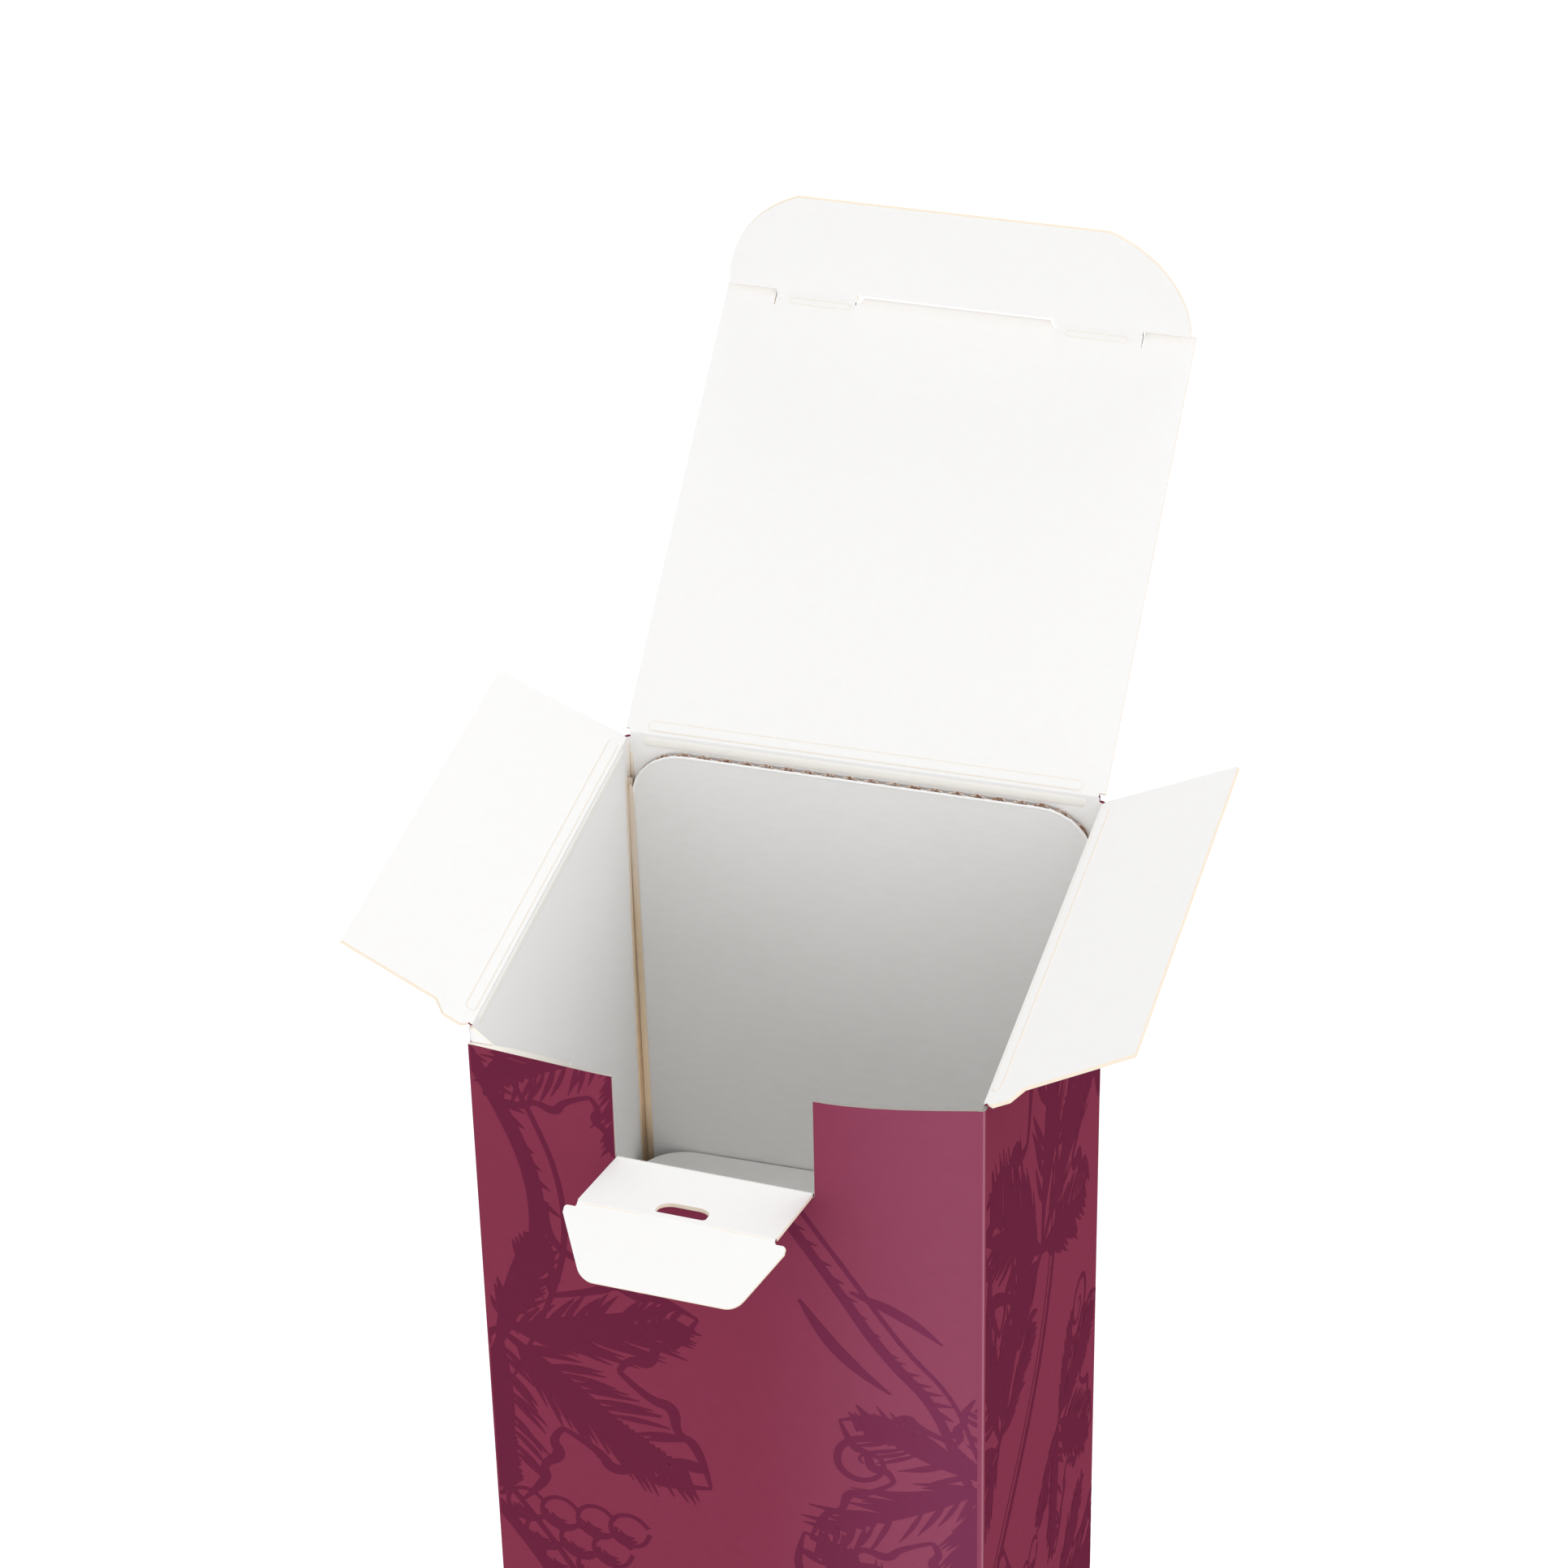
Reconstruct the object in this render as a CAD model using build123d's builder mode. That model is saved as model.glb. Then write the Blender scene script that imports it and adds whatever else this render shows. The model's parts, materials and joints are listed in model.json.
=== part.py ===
from build123d import *

import os
from math import cos, hypot, radians, sin

os.makedirs("parts", exist_ok=True)

# Sizes are in millimetres and angles in degrees. X runs along the front wall,
# Y from the front wall to the back wall, and Z up from the floor.

# Carton
width = 80.0
depth = 81.6
fold_height = 320.0
board = 0.6
fold_outer_radius = 0.9
raw_edge_inset = 0.1

# Folds between panels
fold_gap = 0.15
bead_width = 1.45
bead_height = 0.15
bead_start = 0.55

# Front wall: it stands out in a shallow bow with a straight middle under the notch
shoulder_drop_left = 2.8
shoulder_drop_right = 0.5
notch_left = -16.6
notch_right = 14.8
notch_ease = 0.05
bow_start_inset = 0.9
bow_first_x = -18.6
bow_first = 2.3
bow_second_x = 22.0
bow_second = 4.0
bow_end_inset = 1.2
bow_first_blend = (-21.0, -16.6)
bow_second_blend_start = 14.8
bow_second_blend_inset = 7.0
bow_full_z = 150.0
glue_flap_end = -23.5
corner_top_drop = 0.5
corner_cut_depth = 1.6
glue_flap_slant = 38.0

# Bottom flaps, in the order in which they are folded in
bottom_side_inset = 0.8
bottom_end_inset = 0.7
bottom_front_gap = 0.3
minor_flap_length = 36.0
minor_flap_taper = 6.0

# Lid
lid_rise = 0.9
lid_open = 143.7
lid_side_clearance = 0.2
tuck_fold_clearance = 1.1
lid_bead_inset = 3.8

# Tuck flap, and the cuts along its crease
tuck_open = 64.2
tuck_side_inset = 0.65
tuck_length = 21.3
tuck_corner_ease = 0.3
crease_margin = 0.5
slit_inset = 8.6
slit_kerf = 0.2
slit_depth = 3.1
slit_reach_lid = 1.1
slit_reach_tuck = 1.45
slot_middle_x = -0.5
slot_half_width = 16.7
slot_reach_tuck = 2.0
lip_half_width = 15.9
lip_chamfer = 1.2
lip_reach = 1.05
lid_roll = (18.5, 28.5)
crease_roll_radius = 0.33
crease_web = 0.3

# Dust flaps: lengths from the fold, and insets along it from the box's front and back faces
dust_open_left = 151.7
dust_open_right = 151.0
dust_length_left = 23.15
dust_length_right = 25.0
dust_back_root_inset = 0.9
dust_back_tip_inset = 3.2
dust_front_tip_inset = 2.5
dust_front_step_inset = 2.3
dust_step_end = 6.4
dust_shoulder_inset = 0.1
dust_shoulder_end = 4.4
dust_root_relief = 0.9
dust_bead_inset = 3.8

# Lock tab
tab_fold_drop = 18.6
tab_axis_out = 0.1
tab_side_gap = 0.25
tab_open = 74.0
tab_length = 17.85
tab_end_margin = 0.45
tab_roll = (5.5, 14.5)
finger_slot_width = 7.9
finger_slot_height = 4.0
finger_slot_to_fold = 1.3
finger_slot_top_radius = 2.2
finger_slot_low_radius = 0.6

# Lock tongue
tongue_open = 127.0
tongue_length = 11.4
tongue_start = 0.45
tongue_neck_half = 15.4
tongue_ear_half = 17.1
tongue_ear_start = 0.7
tongue_ear_end = 1.9
tongue_ear_radius = 0.5
tongue_tip_half = 11.9
tongue_corner_radius = 3.2

# Insert of corrugated board
sheet = 1.5
insert_side_clearance = 0.9
insert_wall_gap = 0.1
insert_top_drop = 1.5
insert_corner_radius = 9.0
insert_inner_radius = 0.5
collar_drop = 83.0
collar_back_gap = 0.3
neck_hole = 31.0
liner = 0.22
flute_wall = 0.2
flute_pitch = 3.5
flute_base_half = 1.5
flute_middle_half = 0.72
flute_middle_share = 0.55
flute_tip_half = 0.25
crushed_zone = 4.5

half_width = width / 2
half_depth = depth / 2
front_y = -half_depth
side_axis_x = half_width - board / 2
lid_axis = (0, half_depth - board / 2, fold_height + lid_rise)
fold_roll = board / 2
panel_start = fold_roll + fold_gap
fold_inner_radius = fold_outer_radius - board
tab_fold_z = fold_height - tab_fold_drop
bow_start_x = -half_width + bow_start_inset
bow_end_x = half_width - bow_end_inset
bow_second_blend = (bow_second_blend_start, half_width - bow_second_blend_inset)
lid_width = width - 2 * lid_side_clearance
lid_length = depth - board / 2 - board - tuck_fold_clearance
lid_bead_length = lid_width - 2 * lid_bead_inset
tuck_width = lid_width - 2 * tuck_side_inset
tuck_corner_radius = tuck_length + tuck_corner_ease
slit_x = lid_width / 2 - slit_inset
dust_bead_length = depth - 2 * dust_bead_inset
insert_width = width - 2 * (board + insert_side_clearance)
flute_count = round(insert_width / flute_pitch)


def on_slope(x, a, b):
    """The bow at x on the straight slope from point a to point b."""
    return a[1] + (b[1] - a[1]) * (x - a[0]) / (b[0] - a[0])


bow_points = [
    (bow_start_x, 0.0),
    (bow_first_x, bow_first),
    (bow_second_x, bow_second),
    (bow_end_x, 0.0),
]


def bowed_line(y, share, start_x):
    """The front wall's plan line from start_x to the right corner, bowed by a share of the full bow."""
    a, b, c, d = bow_points
    kinks = [(a, b, start_x), (a, b, bow_first_blend[0]), (b, c, bow_first_blend[1])]
    kinks += [(b, c, bow_second_blend[0]), (c, d, bow_second_blend[1]), (c, d, bow_end_x)]
    p = [(x, y - share * on_slope(x, *slope)) for *slope, x in kinks]
    Line(p[0], p[1])
    Bezier(p[1], (bow_first_x, y - share * bow_first), p[2])
    Line(p[2], p[3])
    Bezier(p[3], (bow_second_x, y - share * bow_second), p[4])
    Line(p[4], p[5])
    return p[0], p[5]


def front_plan(share):
    """Plan of the front wall with the glue flap behind its left part."""
    glue_step = share * on_slope(glue_flap_end, *bow_points[:2])
    with BuildLine() as outline:
        outer = bowed_line(front_y, share, bow_start_x)
        inner = bowed_line(front_y + board, share, glue_flap_end)
        Line(outer[1], inner[1])
        glue_corner = (glue_flap_end, front_y + 2 * board - glue_step)
        Line(inner[0], glue_corner)
        Line(glue_corner, (bow_start_x, front_y + 2 * board))
        Line((bow_start_x, front_y + 2 * board), outer[0])
    make_face(outline.edges())


def round_corners(corners):
    """Round corners of the sketch being drawn, each given as a point with its radius."""
    for (x, y), radius in corners:
        drawn = BuildSketch._get_context().vertices()
        fillet(drawn.sort_by_distance((x, y, 0))[0], radius)


def folded_profile(points, corners):
    """Section of folded board: a closed outline with the given corners rounded."""
    with BuildLine() as outline:
        Polyline(*points, close=True)
    make_face(outline.edges())
    round_corners(corners)


def hinge_plane(origin, along, away):
    """Plane of a panel: x along its fold, y away from its fold."""
    along = Vector(*along)
    away = Vector(*away)
    return Plane(origin=origin, x_dir=along, z_dir=along.cross(away))


def bead(plane_height, middle, length):
    """Raised crease bead with rounded ends, standing on a panel's inner face."""
    with BuildSketch(plane_height) as outline:
        with Locations((middle, bead_start + bead_width / 2)):
            SlotOverall(length, bead_width)
    extrude(outline.sketch, amount=bead_height)


def crease_rolls(middle_plane, fold, margin, reach):
    """Rolled board along a fold, on both sides of a cut, joined to the panel by a thin web."""
    for side in (-1, 1):
        start = min(side * reach[0], side * reach[1])
        roll_plane = Plane(
            origin=middle_plane.from_local_coords((start, fold, 0)),
            x_dir=middle_plane.y_dir,
            z_dir=middle_plane.x_dir,
        )
        with BuildSketch(roll_plane) as section:
            Circle(crease_roll_radius)
            Rectangle(margin, crease_web, align=(Align.MAX, Align.CENTER))
        extrude(section.sketch, amount=reach[1] - reach[0])


# Carton body: four walls, glue flap and closed bottom, folded from one sheet
with BuildPart() as carton_body:
    # Left wall with the fold to the glue flap, and the back wall
    with BuildSketch(Plane.XY.offset(2 * board)):
        with Locations((0, board / 2)):
            RectangleRounded(width, depth - board, fold_outer_radius)
            RectangleRounded(
                width - 2 * board, depth - 3 * board, fold_inner_radius, mode=Mode.SUBTRACT
            )
        with Locations((bow_start_x, 0)):
            Rectangle(
                width, depth, align=(Align.MIN, Align.MAX), mode=Mode.SUBTRACT
            )
    extrude(amount=fold_height - 2 * board)
    # Right wall with its two folds
    with BuildSketch(Plane.XY.offset(2 * board)):
        RectangleRounded(width, depth, fold_outer_radius)
        RectangleRounded(
            width - 2 * board, depth - 2 * board, fold_inner_radius, mode=Mode.SUBTRACT
        )
        with Locations((bow_end_x, 0)):
            Rectangle(
                2 * width, 2 * depth, align=(Align.MAX, Align.CENTER), mode=Mode.SUBTRACT
            )
    extrude(amount=fold_height - 2 * board)
    # Bowed front wall: flat at the bottom fold, full bow from bow_full_z up
    with BuildSketch(Plane.XY.offset(fold_outer_radius)):
        front_plan(0.0)
    with BuildSketch(Plane.XY.offset(bow_full_z)):
        front_plan(1.0)
    loft(ruled=True)
    with BuildSketch(Plane.XY.offset(bow_full_z)):
        front_plan(1.0)
    extrude(amount=fold_height - bow_full_z)
    # Raw left edge of the front wall, over the fold of the glue flap
    with BuildSketch(Plane.XY.offset(fold_outer_radius)):
        with Locations((bow_start_x, front_y)):
            Rectangle(
                half_width + bow_start_x - raw_edge_inset, board, align=(Align.MAX, Align.MIN)
            )
    extrude(amount=fold_height - fold_outer_radius)
    # The back wall stands up to the lid's fold
    with Locations((0, half_depth, fold_height)):
        Box(
            bow_end_x - bow_start_x,
            board,
            lid_rise,
            align=(Align.CENTER, Align.MAX, Align.MIN),
        )

    # Cut the tops of the front wall: left shoulder, right shoulder, notch and the slanted glue flap
    shoulder_cut = 2 * bow_second + board
    with BuildSketch(Plane.XZ.offset(half_depth - board)):
        with BuildLine():
            Polyline(
                (-half_width, fold_height - shoulder_drop_left),
                (0, fold_height - shoulder_drop_left),
                (0, fold_height - shoulder_drop_right),
                (bow_end_x, fold_height - shoulder_drop_right),
                (bow_end_x, fold_height + board),
                (-half_width, fold_height + board),
                close=True,
            )
        make_face()
    extrude(amount=shoulder_cut, mode=Mode.SUBTRACT)
    with BuildSketch(Plane.XZ.offset(half_depth - 2 * board)):
        with BuildLine():
            glue_top = (bow_start_x, fold_height - corner_top_drop)
            glue_run = glue_flap_end - bow_start_x
            glue_fall = glue_run * sin(radians(glue_flap_slant)) / cos(radians(glue_flap_slant))
            Polyline(
                (-half_width, glue_top[1]),
                glue_top,
                (glue_flap_end, glue_top[1] - glue_fall),
                (notch_left, glue_top[1] - glue_fall),
                (notch_left, fold_height + board),
                (-half_width, fold_height + board),
                close=True,
            )
        make_face()
    extrude(amount=board, mode=Mode.SUBTRACT)
    # The front corners stop short of the dust flaps' shoulders
    with Locations((0, front_y, fold_height - corner_top_drop)):
        Box(
            width,
            corner_cut_depth,
            2 * corner_top_drop,
            align=(Align.CENTER, Align.MIN, Align.MIN),
            mode=Mode.SUBTRACT,
        )
    # Notch under the tab: its sides are square to the bowed wall, its foot is the tab's fold
    with BuildSketch(Plane.XZ.offset(half_depth - 2 * board)):
        with BuildLine():
            Polyline(
                (notch_left, tab_fold_z - notch_ease),
                (notch_right, tab_fold_z - notch_ease),
                (notch_right, fold_height + board),
                (notch_left, fold_height + board),
                close=True,
            )
        make_face()
    extrude(amount=shoulder_cut, mode=Mode.SUBTRACT)

    # Rolled folds that carry the dust flaps and the lid
    for side in (-1, 1):
        with BuildSketch(Plane.XZ.offset(half_depth - fold_outer_radius - board)):
            with Locations((side * side_axis_x, fold_height)):
                Circle(fold_roll)
        extrude(amount=-(depth - 2 * fold_outer_radius - board))
    with BuildSketch(Plane.YZ.offset(bow_start_x)):
        with Locations((lid_axis[1], lid_axis[2])):
            Circle(fold_roll)
    extrude(amount=bow_end_x - bow_start_x)

    # Bottom: minor flaps from the sides, then the flap from the back wall, then the one from the front wall
    flap_half = half_width - bottom_side_inset
    with BuildSketch(Plane.YZ.offset(-flap_half)):
        foot = fold_outer_radius
        folded_profile(
            [
                (front_y, foot),
                (front_y, 0),
                (half_depth - bottom_end_inset, 0),
                (half_depth - bottom_end_inset, board),
                (front_y + board, board),
                (front_y + board, foot),
            ],
            [
                ((front_y, 0), fold_outer_radius - fold_gap),
                ((front_y + board, board), fold_gap),
            ],
        )
    extrude(amount=2 * flap_half)
    with BuildSketch(Plane.YZ.offset(-flap_half)):
        foot = 2 * board
        folded_profile(
            [
                (half_depth, foot),
                (half_depth, board),
                (front_y + board + bottom_front_gap, board),
                (front_y + board + bottom_front_gap, foot),
            ],
            [((half_depth, board), board / 2)],
        )
    extrude(amount=2 * flap_half)
    for side in (-1, 1):
        tip_x = side * (half_width - minor_flap_length)
        root_x = side * (half_width - board)
        with BuildSketch(Plane.XY.offset(2 * board)):
            with BuildLine():
                Polyline(
                    (root_x, half_depth - board),
                    (tip_x, half_depth - board - minor_flap_taper),
                    (tip_x, front_y + board + minor_flap_taper),
                    (root_x, front_y + board),
                    close=True,
                )
            make_face()
        extrude(amount=board)


# Lid, open as in the photograph; its board lies on the plane through its fold
lid_away = (0, -cos(radians(lid_open)), sin(radians(lid_open)))
lid_plane = hinge_plane(lid_axis, (1, 0, 0), lid_away)
crease_start = lid_length - crease_margin
with BuildPart() as lid:
    with BuildSketch(lid_plane.offset(-board / 2)):
        with Locations((0, panel_start)):
            Rectangle(lid_width, crease_start - panel_start, align=(Align.CENTER, Align.MIN))
        # Corners beyond the crease, left standing by the friction slits
        for side in (-1, 1):
            corner_width = lid_width / 2 - slit_x - slit_kerf / 2
            with Locations((side * (slit_x + (slit_kerf + corner_width) / 2), crease_start)):
                Rectangle(
                    corner_width, crease_margin + slit_reach_lid, align=(Align.CENTER, Align.MIN)
                )
            with Locations((side * slit_x, lid_length + slit_reach_lid)):
                Rectangle(
                    slit_kerf, slit_depth, align=(Align.CENTER, Align.MAX), mode=Mode.SUBTRACT
                )
        # Lip over the lock slot
        with BuildLine():
            lip_foot = lip_half_width + lip_chamfer
            lip_knee = crease_start + lip_chamfer
            Polyline(
                (slot_middle_x - lip_foot, crease_start),
                (slot_middle_x - lip_half_width, lip_knee),
                (slot_middle_x - lip_half_width, lid_length + lip_reach),
                (slot_middle_x + lip_half_width, lid_length + lip_reach),
                (slot_middle_x + lip_half_width, lip_knee),
                (slot_middle_x + lip_foot, crease_start),
                close=True,
            )
        make_face()
    extrude(amount=board)
    bead(lid_plane.offset(board / 2), 0, lid_bead_length)
    crease_rolls(lid_plane, lid_length, crease_margin, lid_roll)

# Tuck flap: hangs on the lid's crease, with rounded outer corners
tuck_away = (0, -cos(radians(lid_open - tuck_open)), sin(radians(lid_open - tuck_open)))
tuck_plane = hinge_plane(lid_plane.from_local_coords((0, lid_length, 0)), (1, 0, 0), tuck_away)
with BuildPart() as tuck_flap:
    with BuildSketch(tuck_plane.offset(-board / 2)):
        with Locations((0, crease_margin)):
            Rectangle(tuck_width, tuck_length - crease_margin, align=(Align.CENTER, Align.MIN))
        # Outer corners on a large radius that starts at the slits
        reach = tuck_length - slit_reach_tuck
        arc_run = tuck_corner_radius - (tuck_corner_radius**2 - reach**2) ** (1 / 2)
        for side in (-1, 1):
            start = (side * tuck_width / 2, slit_reach_tuck)
            end = (side * (tuck_width / 2 - arc_run), tuck_length)
            with BuildLine():
                RadiusArc(start, end, side * -tuck_corner_radius)
                Polyline(end, (start[0] + side, tuck_length), (start[0] + side, start[1]), start)
            make_face(mode=Mode.SUBTRACT)
            ear_width = tuck_width / 2 - slit_x + slit_kerf / 2
            with Locations((side * (tuck_width / 2 - ear_width / 2), 0)):
                Rectangle(
                    ear_width, slit_reach_tuck, align=(Align.CENTER, Align.MIN), mode=Mode.SUBTRACT
                )
        with Locations((slot_middle_x, 0)):
            Rectangle(
                2 * slot_half_width,
                slot_reach_tuck,
                align=(Align.CENTER, Align.MIN),
                mode=Mode.SUBTRACT,
            )
    extrude(amount=board)


def dust_outline(length, front):
    """Outline of a dust flap; front is 1 where the box's front lies at plus x of its plane."""
    shoulder = half_depth - dust_shoulder_inset
    points = [
        (-front * (half_depth - dust_back_root_inset), panel_start),
        (-front * (half_depth - dust_back_tip_inset), length),
        (front * (half_depth - dust_front_tip_inset), length),
        (front * (half_depth - dust_front_step_inset), dust_step_end),
        (front * shoulder, dust_shoulder_end),
        (front * shoulder, panel_start + dust_root_relief),
        (front * (shoulder - dust_root_relief), panel_start),
    ]
    with BuildLine() as outline:
        Polyline(*points, close=True)
    make_face(outline.edges())


# Dust flaps, folded out to both sides
left_away = (cos(radians(dust_open_left)), 0, sin(radians(dust_open_left)))
left_plane = hinge_plane((-side_axis_x, 0, fold_height), (0, 1, 0), left_away)
with BuildPart() as dust_flap_left:
    with BuildSketch(left_plane.offset(-board / 2)):
        dust_outline(dust_length_left, -1)
    extrude(amount=board)
    bead(left_plane.offset(board / 2), 0, dust_bead_length)

right_away = (-cos(radians(dust_open_right)), 0, sin(radians(dust_open_right)))
right_plane = hinge_plane((side_axis_x, 0, fold_height), (0, -1, 0), right_away)
with BuildPart() as dust_flap_right:
    with BuildSketch(right_plane.offset(-board / 2)):
        dust_outline(dust_length_right, 1)
    extrude(amount=board)
    bead(right_plane.offset(board / 2), 0, dust_bead_length)

# Lock tab: folds out and down over the front wall, about a line just outside the wall's face
tab_ends = [
    Vector(x, front_y - on_slope(x, *bow_points[1:3]), tab_fold_z) for x in (notch_left, notch_right)
]
tab_along = (tab_ends[1] - tab_ends[0]).normalized()
tab_out = tab_along.cross(Vector(0, 0, 1))
tab_origin = (tab_ends[0] + tab_ends[1]) / 2 + tab_out * tab_axis_out
tab_width = (tab_ends[1] - tab_ends[0]).length - 2 * tab_side_gap
tab_away = Vector(0, 0, 1) * cos(radians(tab_open)) + tab_out * sin(radians(tab_open))
tab_plane = hinge_plane(tab_origin, tuple(tab_along), tuple(tab_away))
tab_inner = -(tab_axis_out + board)
tab_middle = -(tab_axis_out + board / 2)
with BuildPart() as lock_tab:
    with BuildSketch(tab_plane.offset(tab_inner)):
        tab_top = tab_length - tab_end_margin
        with Locations((0, tab_axis_out)):
            Rectangle(tab_width, tab_top - tab_axis_out, align=(Align.CENTER, Align.MIN))
        # Finger slot: straight side towards the tongue, rounded towards the root
        slot_low = tab_length - finger_slot_to_fold
        slot_high = slot_low - finger_slot_height
        slot_half = finger_slot_width / 2
        with BuildLine():
            Polyline(
                (-slot_half, slot_low),
                (slot_half, slot_low),
                (slot_half, slot_high),
                (-slot_half, slot_high),
                close=True,
            )
        make_face(mode=Mode.SUBTRACT)
        round_corners(
            [
                ((-slot_half, slot_low), finger_slot_low_radius),
                ((slot_half, slot_low), finger_slot_low_radius),
                ((-slot_half, slot_high), finger_slot_top_radius),
                ((slot_half, slot_high), finger_slot_top_radius),
            ]
        )
    extrude(amount=board)
    crease_rolls(tab_plane.offset(tab_middle), tab_length, tab_end_margin, tab_roll)

# Lock tongue: hinged in the middle of the tab's board, with an ear on each side
tongue_away = Vector(0, 0, 1) * cos(radians(tongue_open)) + tab_out * sin(radians(tongue_open))
tongue_origin = tab_plane.from_local_coords((0, tab_length, tab_middle))
tongue_plane = hinge_plane(tongue_origin, tuple(tab_along), tuple(tongue_away))
with BuildPart() as lock_tongue:
    with BuildSketch(tongue_plane.offset(-board / 2)):
        half_outline = [
            (tongue_neck_half, tongue_start),
            (tongue_neck_half, tongue_ear_start),
            (tongue_ear_half, tongue_ear_start),
            (tongue_ear_half, tongue_ear_end),
            (tongue_tip_half, tongue_length),
        ]
        with BuildLine():
            Polyline(*half_outline, *[(-x, y) for x, y in reversed(half_outline)], close=True)
        make_face()
        for side in (-1, 1):
            round_corners(
                [
                    ((side * tongue_ear_half, tongue_ear_start), tongue_ear_radius),
                    ((side * tongue_tip_half, tongue_length), tongue_corner_radius),
                ]
            )
    extrude(amount=board)

# Insert: back panel, bottom, front panel and neck collar, folded from one corrugated sheet
insert_back_y = half_depth - board - insert_wall_gap
insert_front_y = front_y + 2 * board + insert_wall_gap
insert_foot = 3 * board
insert_top = fold_height - insert_top_drop
collar_z = fold_height - collar_drop
collar_end_y = insert_back_y - sheet - collar_back_gap
insert_outer_radius = insert_inner_radius + sheet
with BuildPart() as insert:
    with BuildSketch(Plane.YZ.offset(-insert_width / 2)):
        folded_profile(
            [
                (insert_back_y, insert_top),
                (insert_back_y, insert_foot),
                (insert_front_y, insert_foot),
                (insert_front_y, collar_z),
                (collar_end_y, collar_z),
                (collar_end_y, collar_z - sheet),
                (insert_front_y + sheet, collar_z - sheet),
                (insert_front_y + sheet, insert_foot + sheet),
                (insert_back_y - sheet, insert_foot + sheet),
                (insert_back_y - sheet, insert_top),
            ],
            [
                ((insert_back_y, insert_foot), insert_outer_radius),
                ((insert_front_y, insert_foot), insert_outer_radius),
                ((insert_front_y, collar_z), insert_outer_radius),
                ((insert_front_y + sheet, collar_z - sheet), insert_inner_radius),
                ((insert_front_y + sheet, insert_foot + sheet), insert_inner_radius),
                ((insert_back_y - sheet, insert_foot + sheet), insert_inner_radius),
            ],
        )
    extrude(amount=insert_width)

    def flute_channels(first_face, second_face):
        """The hollows on both sides of the wave, across a sheet whose faces lie at the two heights."""
        first_core = first_face + liner
        second_core = second_face - liner
        core = second_core - first_core - flute_wall
        rows = [(first_core, 1, flute_count, flute_pitch / 2), (second_core, -1, flute_count - 1, flute_pitch)]
        for base, turn, count, offset in rows:
            for number in range(count):
                middle = -insert_width / 2 + offset + number * flute_pitch
                half = [
                    (flute_base_half, base),
                    (flute_middle_half, base + turn * flute_middle_share * core),
                    (flute_tip_half, base + turn * core),
                ]
                left = [(middle - x, y) for x, y in half]
                right = [(middle + x, y) for x, y in reversed(half)]
                with BuildLine() as outline:
                    Polyline(*left, *right, close=True)
                make_face(outline.edges())

    # Flutes of the back panel run up and are open at its top edge
    with BuildSketch(Plane.XY.offset(insert_foot + crushed_zone)):
        flute_channels(insert_back_y - sheet, insert_back_y)
    extrude(amount=fold_height, mode=Mode.SUBTRACT)
    # Flutes of the collar run from front to back and are open at its rear edge and in the neck hole
    with BuildSketch(Plane.XZ.offset(-(insert_front_y + crushed_zone))):
        flute_channels(collar_z - sheet, collar_z)
    extrude(amount=-(collar_end_y - insert_front_y), mode=Mode.SUBTRACT)

    # Rounded top corners of the back panel and rounded rear corners of the collar
    def corner_waste(side, end, overrun):
        corner_x = side * insert_width / 2
        inner_x = corner_x - side * insert_corner_radius
        with BuildLine() as outline:
            RadiusArc(
                (corner_x, end - insert_corner_radius),
                (inner_x, end),
                -side * insert_corner_radius,
            )
            Polyline(
                (inner_x, end),
                (inner_x, end + overrun),
                (corner_x + side * overrun, end + overrun),
                (corner_x + side * overrun, end - insert_corner_radius),
                (corner_x, end - insert_corner_radius),
            )
        make_face(outline.edges())

    with BuildSketch(Plane.XZ.offset(-insert_back_y)):
        for side in (-1, 1):
            corner_waste(side, insert_top, sheet)
    extrude(amount=2 * sheet, mode=Mode.SUBTRACT)
    with BuildSketch(Plane.XY.offset(collar_z - sheet)):
        for side in (-1, 1):
            corner_waste(side, collar_end_y, collar_back_gap / 2)
        Circle(neck_hole / 2)
    extrude(amount=sheet, mode=Mode.SUBTRACT)

nodes = {
    "carton_body": carton_body,
    "lid": lid,
    "tuck_flap": tuck_flap,
    "dust_flap_left": dust_flap_left,
    "dust_flap_right": dust_flap_right,
    "lock_tab": lock_tab,
    "lock_tongue": lock_tongue,
    "insert": insert,
}
for name, node in nodes.items():
    node.part.label = name
    export_step(node.part, f"parts/{name}.step")
    print(name, node.part.is_valid, len(node.part.solids()), round(node.part.volume, 1))
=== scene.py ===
# %% [markdown]
# # A tall shipping box, open at the top
# The box is folded from one sheet of printed board. An insert of fine corrugated
# board stands in it and ends in a collar with a neck hole. The CAD model gives all
# the panels. This lesson dresses them: it closes the folds, adds the creases that
# the folding machine presses, draws the print, and sets the light and the camera.

import json
import random
from functools import partial
from math import atan2, cos, pi, radians, sin, sqrt

import bmesh
import bpy
from bmesh.types import BMEdge, BMVert
from mathutils import Matrix, Vector


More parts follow.
